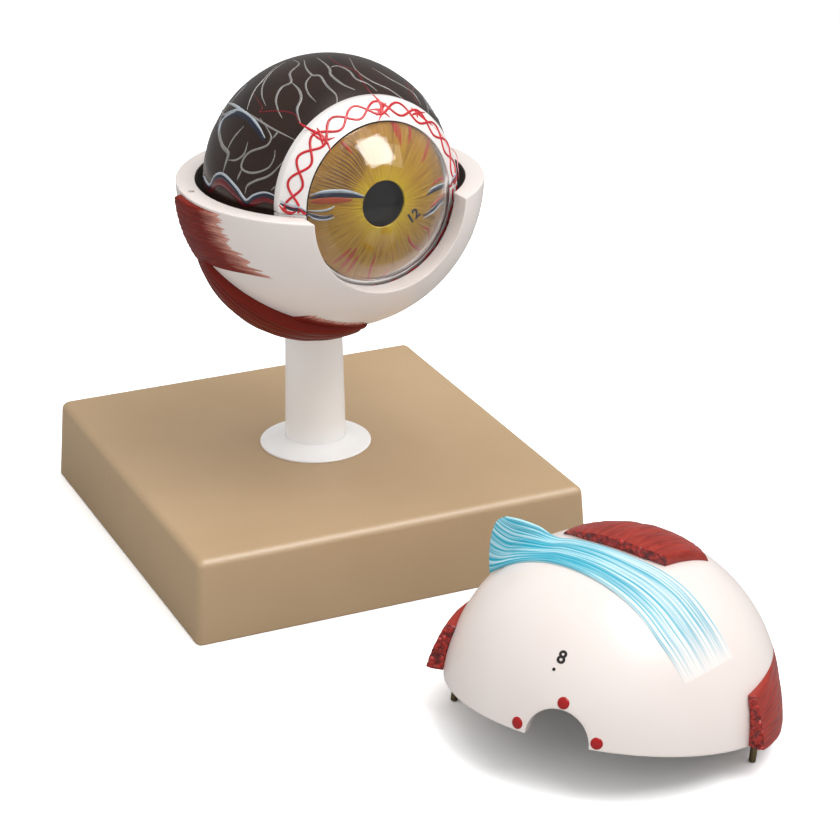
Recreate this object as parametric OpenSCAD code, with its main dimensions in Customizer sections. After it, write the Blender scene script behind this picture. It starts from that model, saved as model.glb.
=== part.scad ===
// Eye anatomy model, six times life size, on a stand.
// The upper half of the white shell is taken off and lies on the table beside the base.
// Frame: millimetres, +Z up, origin at the middle of the base's underside, gaze towards -Y.
// Eye frame: origin at the eye's centre, +Y along the gaze, +Z up.

/* [Base] */
// Width of the base, along X
base_w = 200; // [180:1:240]
// Depth of the base, along Y
base_d = 210; // [180:1:240]
// Height of the base
base_h = 41; // [34:1:50]
// How far each side leans in at the top
base_draft = 2.2; // [0.5:0.1:4]
// Rounding of the base's edges
base_edge = 5; // [2:0.5:8]
// Wall of the base moulding
base_wall = 4.5; // [3:0.5:6]
// Thickness of the cover plate under the base
cover_t = 3; // [2:0.5:5]
// Radius of the cover's screws
cover_screw_r = 1.9; // [1.5:0.1:2.5]

/* [Stand] */
// The post's place on the base, across
post_x = 2; // [-20:1:20]
// The post's place on the base, towards the back
post_y = 0.5; // [-20:0.5:20]
// Post radius at the foot
post_foot_r = 15; // [12:0.5:18]
// Post radius where it meets the eye
post_top_r = 13.6; // [10:0.2:16]
// Radius of the flange
flange_r = 27.5; // [22:0.5:36]
// Thickness of the flange at its rim
flange_edge = 1.3; // [1:0.1:3]
// Height of the flange where it meets the post
flange_h = 4.2; // [2.5:0.1:8]
// Radius of the screw that holds the post
post_screw_r = 4; // [3:0.25:5]
// Radius of the screw that holds the eye on the post
cup_screw_r = 3; // [2:0.25:4]

/* [Eye] */
// Height of the eye's centre above the base
eye_rise = 144.8; // [120:0.2:170]
// How far the eye's centre stands in front of the post
eye_forward = 22.3; // [16:0.1:26]
// How far the eye's centre stands to the side of the post
eye_side = 0.6; // [-4:0.1:4]
// Turn of the gaze from the base's front, towards +X
gaze_yaw = 4; // [-30:0.5:30]
// Outer radius of the white shell (sclera)
sclera_r = 72; // [70:0.5:76]
// Wall of the white shell
sclera_wall = 9; // [7:0.5:10]
// Radius of the front opening, which the cornea looks through
opening_r = 38.2; // [36:0.1:39]
// Radius of the round hole for the optic nerve
nerve_hole_r = 13.7; // [11:0.1:16]
// Space between the white shell and the dark ball
ball_gap = 5; // [4:0.5:6]
// Radius of the dowels in the upper half's rim
dowel_r = 1.5; // [1:0.1:1.8]
// How far the dowel on the nose's side stands out of the rim
dowel_out_nose = 18; // [8:0.5:18]
// How far the dowel on the temple's side stands out of the rim
dowel_out_temple = 12; // [8:0.5:18]
// Depth of the dowels inside the rim
dowel_in = 9; // [5:0.5:12]
// How far the dowels lie behind the eye's sides, in degrees
dowel_back = 7; // [0:1:14]

/* [Ball] */
// Turn of the ball's gaze from the white shell's, towards +X
ball_yaw = 2; // [0:0.1:2]
// Tilt of the ball's gaze upwards
ball_tilt = 2.4; // [0:0.1:3]
// How far the ball sits towards -X in the shell
ball_shift = 1; // [0.5:0.1:1.2]
// How far the ball sits below the shell's centre
ball_drop = 1.4; // [0.5:0.1:1.6]
// Wall of the dark ball (choroid)
choroid_wall = 4; // [3:0.5:5]
// Wall of the retina
retina_wall = 1.7; // [1:0.1:2.5]
// How far the white ciliary ring stands proud of the ball
ring_raise = 2.9; // [1.5:0.1:3.2]
// Radius of the ciliary ring's outer edge
ring_r = 46.7; // [44:0.1:48]
// Radius of the optic nerve
nerve_r = 12.5; // [9:0.1:13]
// How far the nerve reaches behind the eye's centre
nerve_reach = 84; // [80:1:95]
// Radius of the dowels between the ball's halves
ball_dowel_r = 1; // [0.8:0.1:1.2]

/* [Front of the eye] */
// Radius of curvature of the cornea
cornea_curve = 44; // [42:0.5:60]
// Wall of the cornea
cornea_wall = 2; // [1.2:0.1:2.5]
// Radius of the pupil
pupil_r = 10.7; // [6:0.1:14]
// How far the iris bulges forward
iris_rise = 5.2; // [3:0.1:6]
// Thickness of the iris
iris_t = 1.4; // [1:0.1:1.6]
// Radius of the lens
lens_r = 27.2; // [22:0.1:29]
// Bulge of the lens in front of its edge
lens_front = 8.5; // [6:0.1:9]
// Bulge of the lens behind its edge
lens_back = 8; // [6:0.1:9]
// Thickness of the lens at its edge
lens_edge = 1.9; // [1:0.1:2.5]

/* [Muscles] */
// Thickness of the straight muscles at the eye's side
muscle_t = 4; // [2:0.25:6]
// How much they thicken towards the back
muscle_swell = 8; // [4:0.5:10]
// Where the upper half's side muscles are cut off, behind the eye's centre
muscle_cut = 24; // [18:1:30]
// Where the lower half's side muscles are cut off, behind the eye's centre
lower_cut = 10; // [6:1:20]
// Thickness of the tendon band
tendon_t = 2.4; // [1.5:0.1:4]
// Radius of the tendon flap's rounded edge
flap_edge = 1.5; // [1:0.1:2]

/* [Upper half on the table] */
// Place of the upper half's centre, across
cap_x = 38.8; // [20:0.2:60]
// Place of the upper half's centre, towards the back
cap_y = -239.5; // [-280:0.5:-236]
// Turn of the upper half's gaze from +Y
cap_yaw = -47.6; // [-60:0.1:-30]

/* [Hidden] */
$fn = 96;

// Clearances
seat_gap = 0.3;      // between a piece and its seat
slide_gap = 0.4;     // between pieces that slide past each other
pin_gap = 0.08;      // round a dowel that slides in its hole
press_gap = 0.02;    // round a dowel or screw that stays in its hole
seam_gap = 0.2;      // between the ball's two halves
big = 300;           // larger than the whole eye

// The eye's place, and the ball's inside it
eye_c = [post_x + eye_side, post_y - eye_forward, base_h + eye_rise];
ball_off = [ball_shift, 0, -ball_drop];

// Shells, from the outside in
sclera_in = sclera_r - sclera_wall;
choroid_r = sclera_in - ball_gap;
ring_top = choroid_r + ring_raise;
choroid_in = choroid_r - choroid_wall;
retina_out = choroid_in - seat_gap;
retina_in = retina_out - retina_wall;
vitreous_r = retina_in - slide_gap;

// Planes across the gaze, by their distance in front of the eye's centre
cornea_r = opening_r - 1.3;
bore_r = cornea_r + slide_gap;
ring_front = sqrt(pow(ring_top, 2) - pow(bore_r, 2));
cornea_sink = 1.1;
cornea_base = ring_front - cornea_sink;
cornea_shoulder = cornea_base + 1.6;
cornea_mid = cornea_shoulder - sqrt(pow(cornea_curve, 2) - pow(cornea_r, 2));
iris_front = cornea_base - seat_gap;
iris_back = iris_front - iris_t;
ciliary_front = iris_back - seat_gap;
ciliary_depth = 11;
ciliary_rear = ciliary_front - ciliary_depth;
lip_t = 4.7;
lip_front = ciliary_rear + lip_t;
lip_w = 2.5;
lens_seat = lip_front + seat_gap;
vitreous_front = lens_seat - lens_back - slide_gap;
retina_front = ciliary_rear - 0.5;

// Lens faces
lens_front_curve = (pow(lens_r, 2) + pow(lens_front, 2)) / (2 * lens_front);
lens_back_curve = (pow(lens_r, 2) + pow(lens_back, 2)) / (2 * lens_back);

// Dowels of the white shell
dowel_ring = sclera_r - sclera_wall / 2;
dowel_x = dowel_ring * cos(dowel_back);
dowel_y = -dowel_ring * sin(dowel_back);

// Dowels of the ball, in the middle of its wall
ball_dowel_ring = choroid_r - choroid_wall / 2;
ball_dowel_az = 20;
ball_dowel_l = 4;

// The upper half leans on its two dowels and on one corner of its front opening
cap_foot_nose = [-dowel_x, dowel_y, -dowel_out_nose];
cap_foot_temple = [dowel_x, dowel_y, -dowel_out_temple];
cap_corner = [opening_r, sqrt(pow(sclera_r, 2) - pow(opening_r, 2)), 0];
cap_cross = cross(cap_foot_temple - cap_foot_nose, cap_corner - cap_foot_temple);
cap_up = cap_cross / norm(cap_cross);
cap_pitch = asin(cap_up.y);
cap_roll = atan2(-cap_up.x, cap_up.z);
cap_c = [cap_x, cap_y, 0.05 - cap_up * cap_corner];

// Screws
screw_head_h = 3.5;
head_over = 2.5;
washer_t = 1.6;
post_screw_l = 24;
cup_screw_l = 26;
cup_floor = 4.6;     // wall left under the cup screw's head
cover_boss_r = 5;
cover_head_r = 2 * cover_screw_r;
cover_head_h = 2;
cover_screw_l = 12;

// The shell's outer surface under the eye, on the post's axis
post_off = sqrt(pow(eye_forward, 2) + pow(eye_side, 2));
shell_drop = sqrt(pow(sclera_r, 2) - pow(post_off, 2));
cup_under = eye_c.z - shell_drop;
cup_seat = cup_under + cup_floor;

// Lines across the eye that bound the muscles, as [normal, share of the shell's radius]
tendon_low = [[0.379, 0.863, 0.333], -0.222];
tendon_high = [[0.231, 0.958, 0.172], -0.045];
oblique_high = [[-0.096, 0.575, 0.813], -0.394];
oblique_low = [[-0.096, 0.575, 0.813], -0.778];

// Corners of the tendon's free flap, as shares of the shell's radius
flap_pts = [
    [-0.544, -0.33, 0.794], [-0.378, -0.121, 0.936], [-0.536, -0.208, 0.962],
    [-0.7, -0.208, 0.969], [-0.758, -0.208, 0.93], [-0.772, -0.208, 0.854], [-0.761, -0.208, 0.625]
];

// ---------------------------------------------------------------- helpers

module in_eye() {
    translate(eye_c) rotate([0, 0, 180 + gaze_yaw]) children();
}

module in_ball() {
    in_eye() translate(ball_off) rotate([ball_tilt, 0, ball_yaw]) children();
}

module in_cap() {
    translate(cap_c) rotate([0, 0, cap_yaw]) rotate([cap_pitch, cap_roll, 0]) children();
}

// A round bar of radius r along the gaze, from plane y0 to plane y1
module along_gaze(r, y0, y1) {
    translate([0, y0, 0]) rotate([-90, 0, 0]) cylinder(r = r, h = y1 - y0);
}

// Everything on the low side of a plane
module under_plane(n, d) {
    rotate([0, acos(n.z / norm(n)), atan2(n.y, n.x)])
        translate([-big / 2, -big / 2, d - big]) cube(big);
}

module below(line, shift = 0) {
    under_plane(line[0], line[1] * sclera_r + shift);
}

module above(line, shift = 0) {
    under_plane(-line[0], -line[1] * sclera_r - shift);
}

module upper_side(z0 = 0) {
    translate([-big / 2, -big / 2, z0]) cube(big);
}

module lower_side() {
    translate([-big / 2, -big / 2, -big]) cube(big);
}

// A sphere whose poles lie on the gaze axis, like the round openings cut into it
module ball(r) {
    rotate([-90, 0, 0]) sphere(r = r);
}

module shell(outer, inner) {
    difference() {
        ball(r = outer);
        ball(r = inner);
    }
}

module mirror_copy() {
    children();
    mirror([1, 0, 0]) children();
}

// ---------------------------------------------------------------- stand

module base_outline() {
    hull() {
        for (x = [-1, 1], y = [-1, 1]) {
            translate([x * (base_w / 2 - base_edge), y * (base_d / 2 - base_edge), 0])
                cylinder(r = base_edge, h = 1, $fn = 32);
            translate([
                x * (base_w / 2 - base_draft - base_edge),
                y * (base_d / 2 - base_draft - base_edge),
                base_h - base_edge
            ]) sphere(r = base_edge, $fn = 32);
        }
    }
}

cavity_w = base_w - 2 * (base_draft + base_wall);
cavity_d = base_d - 2 * (base_draft + base_wall);
boss_x = cavity_w / 2 - 2 * cover_boss_r;
boss_y = cavity_d / 2 - 2 * cover_boss_r;

module at_bosses() {
    for (x = [-1, 1], y = [-1, 1]) translate([x * boss_x, y * boss_y, 0]) children();
}

module base_block() {
    color([0.76, 0.67, 0.53]) difference() {
        base_outline();
        difference() {
            translate([-cavity_w / 2, -cavity_d / 2, -1])
                cube([cavity_w, cavity_d, base_h - base_wall + 1]);
            at_bosses() translate([0, 0, cover_t + seat_gap]) cylinder(r = cover_boss_r, h = base_h);
        }
        at_bosses() translate([0, 0, cover_t])
            cylinder(r = cover_screw_r + press_gap, h = cover_screw_l);
        translate([post_x, post_y, 0]) cylinder(r = post_screw_r + seat_gap, h = base_h + 1);
    }
}

module base_cover() {
    color([0.30, 0.25, 0.20]) difference() {
        translate([-cavity_w / 2 + seat_gap, -cavity_d / 2 + seat_gap, 0])
            cube([cavity_w - 2 * seat_gap, cavity_d - 2 * seat_gap, cover_t]);
        at_bosses() {
            translate([0, 0, -1]) cylinder(r = cover_screw_r + seat_gap, h = cover_t + 2);
            translate([0, 0, -1])
                cylinder(r = cover_head_r + seat_gap, h = cover_head_h + seat_gap + 1);
        }
    }
}

module cover_screws() {
    color([0.75, 0.75, 0.77]) at_bosses() {
        translate([0, 0, seat_gap]) cylinder(r = cover_head_r, h = cover_head_h);
        translate([0, 0, seat_gap]) cylinder(r = cover_screw_r, h = cover_screw_l);
    }
}

module post_flange() {
    color([0.87, 0.85, 0.84]) translate([post_x, post_y, base_h]) rotate_extrude()
        polygon([
            [post_foot_r + press_gap, 0], [flange_r, 0], [flange_r, flange_edge],
            [flange_r - 1.5, flange_edge + 0.5], [post_foot_r + 3.5, flange_h - 1.2],
            [post_foot_r + press_gap, flange_h]
        ]);
}

module stand_post() {
    color([0.87, 0.85, 0.84]) difference() {
        translate([post_x, post_y, base_h])
            cylinder(r1 = post_foot_r, r2 = post_top_r, h = cup_under - base_h + post_top_r);
        translate(eye_c) ball(r = sclera_r + press_gap);
        translate([post_x, post_y, base_h - 1])
            cylinder(r = post_screw_r + press_gap, h = post_screw_l + 2);
        translate([post_x, post_y, cup_seat - cup_screw_l - 2])
            cylinder(r = cup_screw_r + press_gap, h = cup_screw_l + sclera_wall);
    }
}

module post_screw() {
    head_z = base_h - base_wall - washer_t;
    color([0.75, 0.75, 0.77]) translate([post_x, post_y, head_z]) {
        translate([0, 0, -screw_head_h]) cylinder(r = post_screw_r + head_over, h = screw_head_h);
        cylinder(r = post_screw_r, h = washer_t + base_wall + post_screw_l);
    }
}

module post_washer() {
    color([0.75, 0.75, 0.77]) translate([post_x, post_y, base_h - base_wall - washer_t])
        difference() {
            cylinder(r = post_screw_r + 2 * head_over, h = washer_t);
            translate([0, 0, -1]) cylinder(r = post_screw_r + seat_gap, h = washer_t + 2);
        }
}

module cup_screw() {
    color([0.75, 0.75, 0.77]) translate([post_x, post_y, cup_seat]) {
        cylinder(r = cup_screw_r + head_over, h = screw_head_h);
        translate([0, 0, -cup_screw_l]) cylinder(r = cup_screw_r, h = cup_screw_l + 1);
    }
}

// ---------------------------------------------------------------- white shell

module front_opening() {
    along_gaze(opening_r, choroid_r / 3, sclera_r + 10);
}

module nerve_opening() {
    along_gaze(nerve_hole_r, -sclera_r - 10, -choroid_r / 3);
}

module sclera_lower() {
    color([0.95, 0.92, 0.90]) difference() {
        in_eye() difference() {
            intersection() {
                shell(sclera_r, sclera_in);
                lower_side();
            }
            front_opening();
            nerve_opening();
            mirror_copy() translate([dowel_x, dowel_y, -dowel_out_nose - pin_gap])
                cylinder(r = dowel_r + pin_gap, h = dowel_out_nose + 1);
        }
        translate([post_x, post_y, cup_seat])
            cylinder(r = cup_screw_r + head_over + seat_gap, h = 2 * sclera_wall);
        translate([post_x, post_y, cup_under - sclera_wall])
            cylinder(r = cup_screw_r + seat_gap, h = 3 * sclera_wall);
    }
}

// Three pads on the shell's inside carry the ball
pad_r = 6;
pad_dip = 45;

module seat_pads() {
    color([0.35, 0.35, 0.37]) in_eye() difference() {
        intersection() {
            ball(r = sclera_in);
            for (az = [30, 150, 270]) rotate([0, 0, az]) rotate([0, 90 + pad_dip, 0])
                cylinder(r = pad_r, h = sclera_r);
        }
        translate(ball_off) ball(r = choroid_r + seat_gap);
    }
}

module sclera_upper() {
    color([0.95, 0.92, 0.90]) in_cap() difference() {
        intersection() {
            shell(sclera_r, sclera_in);
            upper_side();
        }
        front_opening();
        nerve_opening();
        mirror_copy() translate([dowel_x, dowel_y, -1])
            cylinder(r = dowel_r + press_gap, h = dowel_in + 1);
    }
}

module sclera_dowel(foot) {
    translate(foot) cylinder(r = dowel_r, h = dowel_in - foot.z);
}

module sclera_dowels() {
    color([0.72, 0.60, 0.38]) in_cap() {
        sclera_dowel(cap_foot_nose);
        sclera_dowel(cap_foot_temple);
    }
}

// ---------------------------------------------------------------- muscles

// A pad on the shell that swells towards `push` and fades out away from it
module pad_on_shell(push) {
    difference() {
        intersection() {
            translate(push) ball(r = sclera_r);
            children();
        }
        ball(r = sclera_r);
    }
}

// The side muscles on the lower half, drawn on the temple's side
lower_lateral_top = 1;
lower_medial_top = 3.5;
lower_rectus_depth = 32;
lower_rectus_fall = 0.12;

// Everything over, or under, the line where these muscles end below
module over_lateral_edge(gap) {
    translate([0, 0, -lower_rectus_depth - gap]) rotate([-atan(lower_rectus_fall), 0, 0])
        translate([0, -big / 2, 0]) cube(big);
}

module lower_side_rectus(top) {
    pad_on_shell([0.75 * muscle_t, -0.65 * muscle_swell, 3]) intersection() {
        translate([0, -lower_cut, -top - big]) cube(big);
        over_lateral_edge(0);
    }
}

// The side muscles on the upper half, whose upper edge climbs forward
upper_lateral_top = 31;
upper_medial_top = 26;
upper_rectus_climb = 0.37;

module upper_side_rectus(top) {
    pad_on_shell([1.2 * muscle_t, -0.75 * muscle_swell, -muscle_swell]) intersection() {
        translate([0, -muscle_cut, seat_gap]) cube(big);
        under_plane([0, -upper_rectus_climb, 1], top / norm([upper_rectus_climb, 1]));
    }
}

module lateral_rectus_lower() {
    color([0.55, 0.20, 0.16]) in_eye() lower_side_rectus(lower_lateral_top);
}

module medial_rectus_lower() {
    color([0.55, 0.20, 0.16]) in_eye() mirror([1, 0, 0])
        lower_side_rectus(lower_medial_top);
}

module lateral_rectus_upper() {
    color([0.55, 0.20, 0.16]) in_cap() upper_side_rectus(upper_lateral_top);
}

module medial_rectus_upper() {
    color([0.55, 0.20, 0.16]) in_cap() mirror([1, 0, 0])
        upper_side_rectus(upper_medial_top);
}

// The muscle on top ends along the tendon's edge
superior_r = 60 / 72;
superior_push = 17 / 72;
superior_dir = [0.15, -0.33, 0.93];
superior_side = [[0.918, -0.395, 0], 0.374];

module superior_rectus() {
    color([0.60, 0.24, 0.20]) in_cap() difference() {
        intersection() {
            translate(superior_dir * superior_push * sclera_r) ball(r = superior_r * sclera_r);
            above(tendon_high, seat_gap);
            below(superior_side);
        }
        ball(r = sclera_r);
    }
}

// The muscle below shows in front of the slanting one
inferior_x0 = 2;
inferior_w = 34;
inferior_front = 46;

module inferior_rectus() {
    color([0.50, 0.16, 0.13]) in_eye()
        pad_on_shell([0.5, -0.45 * muscle_swell, -0.9 * muscle_t]) intersection() {
            translate([inferior_x0, 0, -big]) cube([inferior_w, inferior_front, big]);
            above(oblique_high, seat_gap);
        }
}

// The slanting muscle is a spindle, thickest in its middle
oblique_r = 56 / 72;
oblique_push = 23 / 72;
oblique_dir = [0.5, 0.13, -0.86];

module inferior_oblique() {
    color([0.50, 0.16, 0.13]) in_eye() difference() {
        intersection() {
            translate(oblique_dir / norm(oblique_dir) * oblique_push * sclera_r)
                ball(r = oblique_r * sclera_r);
            below(oblique_high);
            above(oblique_low);
            translate([-2, -big / 2, -big]) cube(big);
        }
        ball(r = sclera_r);
        over_lateral_edge(seat_gap);
    }
}

// The tendon lies on the shell, and its end stands free as a flap
tendon_end_z = 27;
tendon_left_x = -36;
tendon_push = [-0.3, -0.4, 1];

module tendon_flap() {
    for (k = [1:5]) hull()
        for (i = [0, k, k + 1]) translate(flap_pts[i] * sclera_r) sphere(r = flap_edge, $fn = 16);
}

module superior_oblique() {
    color([0.55, 0.82, 0.86]) in_cap() difference() {
        union() {
            intersection() {
                translate(tendon_push * tendon_t) ball(r = sclera_r);
                above(tendon_low);
                below(tendon_high);
                translate([tendon_left_x, -big / 2, tendon_end_z]) cube(big);
            }
            tendon_flap();
        }
        ball(r = sclera_r);
    }
}

// ---------------------------------------------------------------- ball

module front_bore() {
    along_gaze(bore_r, choroid_r / 3, sclera_r);
}

module at_ball_dowels() {
    for (az = [ball_dowel_az, 180 - ball_dowel_az, 180 + ball_dowel_az, -ball_dowel_az])
        rotate([0, 0, az]) translate([ball_dowel_ring, 0, 0]) children();
}

module choroid_lower() {
    color([0.14, 0.10, 0.08]) in_ball() difference() {
        intersection() {
            shell(choroid_r, choroid_in);
            lower_side();
        }
        front_bore();
        at_ball_dowels() translate([0, 0, -ball_dowel_l])
            cylinder(r = ball_dowel_r + press_gap, h = ball_dowel_l + 1);
    }
}

module choroid_upper() {
    color([0.14, 0.10, 0.08]) in_ball() difference() {
        intersection() {
            shell(choroid_r, choroid_in);
            upper_side(seam_gap);
        }
        front_bore();
        at_ball_dowels() translate([0, 0, -1])
            cylinder(r = ball_dowel_r + pin_gap, h = ball_dowel_l + seat_gap + 1);
    }
}

module ball_dowels() {
    color([0.75, 0.75, 0.77]) in_ball() at_ball_dowels() translate([0, 0, -ball_dowel_l])
        cylinder(r = ball_dowel_r, h = 2 * ball_dowel_l);
}

module ciliary_ring() {
    difference() {
        intersection() {
            shell(ring_top, choroid_r);
            along_gaze(ring_r, choroid_r / 3, sclera_r);
        }
        front_bore();
    }
}

module ciliary_ring_lower() {
    color([0.96, 0.94, 0.92]) in_ball() intersection() {
        ciliary_ring();
        lower_side();
    }
}

module ciliary_ring_upper() {
    color([0.96, 0.94, 0.92]) in_ball() intersection() {
        ciliary_ring();
        upper_side(seam_gap);
    }
}

module retina() {
    intersection() {
        shell(retina_out, retina_in);
        translate([-big / 2, retina_front - big, -big / 2]) cube(big);
    }
}

module retina_lower() {
    color([0.85, 0.50, 0.30]) in_ball() intersection() {
        retina();
        lower_side();
    }
}

module retina_upper() {
    color([0.85, 0.50, 0.30]) in_ball() intersection() {
        retina();
        upper_side(seam_gap);
    }
}

// The middle of the sphere that the lens's rear face is part of
module at_lens_back() {
    translate([0, lens_seat - lens_back + lens_back_curve, 0]) children();
}

module ciliary_body() {
    color([0.45, 0.25, 0.18]) in_ball() difference() {
        along_gaze(bore_r - seat_gap, ciliary_rear, ciliary_front);
        along_gaze(lens_r - lip_w, ciliary_rear - 1, ciliary_front + 1);
        along_gaze(lens_r + slide_gap, lip_front, ciliary_front + 1);
        at_lens_back() ball(r = lens_back_curve + seat_gap);
    }
}

// The nerve's upper side stops at a flat face, so that the upper half can lift past it
module optic_nerve() {
    color([0.90, 0.80, 0.45]) difference() {
        in_eye() along_gaze(nerve_r, -nerve_reach, -choroid_r / 2);
        in_ball() ball(r = choroid_r);
        in_ball() translate([-big / 2, -choroid_r - slide_gap, 0]) cube(big);
        in_eye() at_nerve_vessels()
            along_gaze(vessel_r + press_gap, -nerve_reach - 1, vessel_in);
    }
}

vessel_r = 1.5;
vessel_gap = 2.4;
vessel_in = -nerve_reach + 8;

module at_nerve_vessels() {
    for (x = [-1, 1]) translate([x * vessel_gap, 0, 0]) children();
}

module nerve_vessels() {
    color([0.70, 0.12, 0.12]) in_eye() at_nerve_vessels()
        along_gaze(vessel_r, -nerve_reach - 1, vessel_in);
}

module vitreous_body() {
    color([0.85, 0.92, 0.95, 0.5]) in_ball() difference() {
        ball(r = vitreous_r);
        translate([-big / 2, vitreous_front, -big / 2]) cube(big);
    }
}

// ---------------------------------------------------------------- front of the eye

module lens() {
    color([0.90, 0.95, 0.97, 0.5]) in_ball() intersection() {
        translate([0, lens_seat + lens_edge + lens_front - lens_front_curve, 0])
            ball(r = lens_front_curve);
        at_lens_back() ball(r = lens_back_curve);
        along_gaze(lens_r, 0, sclera_r);
    }
}

module iris() {
    cornea_foot = cornea_base - cornea_mid;
    rim_r = sqrt(pow(cornea_curve - cornea_wall, 2) - pow(cornea_foot, 2)) - seat_gap;
    mid_r = (pupil_r + cornea_r) / 2;
    pupil_front = iris_front + iris_rise;
    mid_front = iris_front + 0.7 * iris_rise;
    color([0.76, 0.60, 0.22]) in_ball() rotate([-90, 0, 0]) rotate_extrude() polygon([
        [cornea_r, iris_back], [cornea_r, iris_front], [rim_r, iris_front], [mid_r, mid_front],
        [pupil_r, pupil_front], [pupil_r, pupil_front - iris_t], [mid_r, mid_front - iris_t],
        [rim_r, iris_back]
    ]);
}

module cornea() {
    color([0.92, 0.95, 0.96, 0.35]) in_ball() difference() {
        intersection() {
            translate([0, cornea_mid, 0]) ball(r = cornea_curve);
            along_gaze(cornea_r, cornea_base, big / 2);
        }
        translate([0, cornea_mid, 0]) ball(r = cornea_curve - cornea_wall);
    }
}

// ---------------------------------------------------------------- nodes

base_block();
base_cover();
cover_screws();
post_flange();
stand_post();
post_screw();
post_washer();
cup_screw();
sclera_lower();
seat_pads();
lateral_rectus_lower();
medial_rectus_lower();
inferior_rectus();
inferior_oblique();
choroid_lower();
ciliary_ring_lower();
retina_lower();
ciliary_body();
optic_nerve();
nerve_vessels();
ball_dowels();
choroid_upper();
ciliary_ring_upper();
retina_upper();
vitreous_body();
lens();
iris();
cornea();
sclera_upper();
lateral_rectus_upper();
medial_rectus_upper();
superior_rectus();
superior_oblique();
sclera_dowels();
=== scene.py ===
import math
import random

import bmesh
import bpy
from mathutils import Euler, Matrix, Vector, noise


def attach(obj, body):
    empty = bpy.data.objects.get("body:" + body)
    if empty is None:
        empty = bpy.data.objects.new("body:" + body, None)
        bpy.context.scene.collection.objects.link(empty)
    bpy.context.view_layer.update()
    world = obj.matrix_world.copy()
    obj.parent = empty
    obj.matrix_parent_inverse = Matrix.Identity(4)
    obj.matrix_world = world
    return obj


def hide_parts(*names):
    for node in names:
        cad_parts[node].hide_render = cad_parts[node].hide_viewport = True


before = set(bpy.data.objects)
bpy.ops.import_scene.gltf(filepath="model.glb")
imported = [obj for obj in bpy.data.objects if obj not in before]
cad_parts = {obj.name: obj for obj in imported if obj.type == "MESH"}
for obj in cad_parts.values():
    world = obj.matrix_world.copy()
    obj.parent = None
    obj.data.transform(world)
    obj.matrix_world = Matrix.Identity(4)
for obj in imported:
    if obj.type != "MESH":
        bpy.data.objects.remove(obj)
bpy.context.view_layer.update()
scene = bpy.context.scene
scene.view_settings.view_transform = "Standard"


# ---------------------------------------------------------------- camera
# The photographer stood in front of the model and to its left, looking down on it.
# Painted details that are placed by a point of the picture are cast through this camera.
IMAGE_PX = 840
FOCAL_PX = 2580
SENSOR_MM = 36
CAMERA_MM = Vector((-437.5, -1085.7, 559.3))
CAMERA_TURN = math.radians(-24.56)
CAMERA_DOWN = math.radians(23.42)

camera_turned = Euler((math.pi / 2 - CAMERA_DOWN, 0, CAMERA_TURN))
camera_data = bpy.data.cameras.new("camera")
camera_data.sensor_width = SENSOR_MM
camera_data.lens = SENSOR_MM * FOCAL_PX / IMAGE_PX
camera = bpy.data.objects.new("camera", camera_data)
camera.location = CAMERA_MM / 1000
camera.rotation_euler = camera_turned
scene.collection.objects.link(camera)
scene.camera = camera


# ---------------------------------------------------------------- studio
# A white sweep under soft lamps. The floor keeps shadows near the model and fades to plain
# white further off. The key light is a square window that the clear cornea mirrors, with a
# twin that adds to the mirrored window alone.
FLOOR_M = 9
FLOOR_SEEN = 1.35
FLOOR_FELT = 0.52
FLOOR_MIRRORED = 0.3
FLOOR_FADES = (0.6, 1.1)
WINDOW_AT = (0.42, -0.79, 1.6)
WINDOW_M = 1.0
WINDOW_SIDE = Vector((0.75, 0.49, -0.25))
WINDOW_AIM = Vector((0, -0.03, 0.2))
WINDOW_SHEEN = 20
LAMP_AIM = Vector((0, -0.1, 0.1))
LAMPS = {
    # name: (place in metres, size, power in watts, whether glossy surfaces mirror it)
    "window": (WINDOW_AT, WINDOW_M, 13, True),
    "key": ((1.5, -1.3, 2.2), 1.3, 11, False),
    "fill": ((-2.2, -1.6, 1.5), 1.6, 3, False),
    "top": ((-0.1, 0.25, 2.6), 1.8, 15, False),
}
WORLD_LIGHT = 0.78
WORLD_MIRRORED = 0.35


def fill(made, **inputs):
    """Sets a node's inputs, by name or as i0, i1 and so on: a socket is linked, a value is set."""
    for name, value in inputs.items():
        socket = made.inputs[int(name[1:]) if name[1:].isdigit() else name.replace("_", " ")]
        if isinstance(value, bpy.types.NodeSocket):
            made.id_data.links.new(value, socket)
        else:
            socket.default_value = value
    return made


def add_node(tree, kind, settings=None, **inputs):
    """A new node with its settings and inputs."""
    made = tree.nodes.new(kind)
    for name, value in (settings or {}).items():
        setattr(made, name, value)
    return fill(made, **inputs)


def maths(tree, operation, *values, clamp=False):
    """The result of a sum, which takes sockets or numbers."""
    made = add_node(tree, "ShaderNodeMath", {"operation": operation, "use_clamp": clamp})
    return fill(made, **{f"i{k}": value for k, value in enumerate(values)}).outputs[0]


def spread(tree, value, start, end, low=0.0, high=1.0, **settings):
    """A value that runs from start to end, made to run from low to high."""
    return add_node(tree, "ShaderNodeMapRange", settings, Value=value, From_Min=start, From_Max=end,
                    To_Min=low, To_Max=high).outputs[0]


def new_material(name):
    material = bpy.data.materials.new(name)
    material.use_nodes = True
    return material, material.node_tree, material.node_tree.nodes["Principled BSDF"]


def piece_object(name, content):
    made = bpy.data.objects.new(name, content)
    scene.collection.objects.link(made)
    return made


def three_views(tree, felt, seen, mirrored):
    """One value for diffuse light, one for the camera also through glass, one for reflections."""
    path = add_node(tree, "ShaderNodeLightPath").outputs
    looked = maths(tree, "MAXIMUM", path["Is Camera Ray"], path["Is Transmission Ray"])
    return spread(tree, path["Is Glossy Ray"], 0, 1, spread(tree, looked, 0, 1, felt, seen), mirrored)


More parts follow.
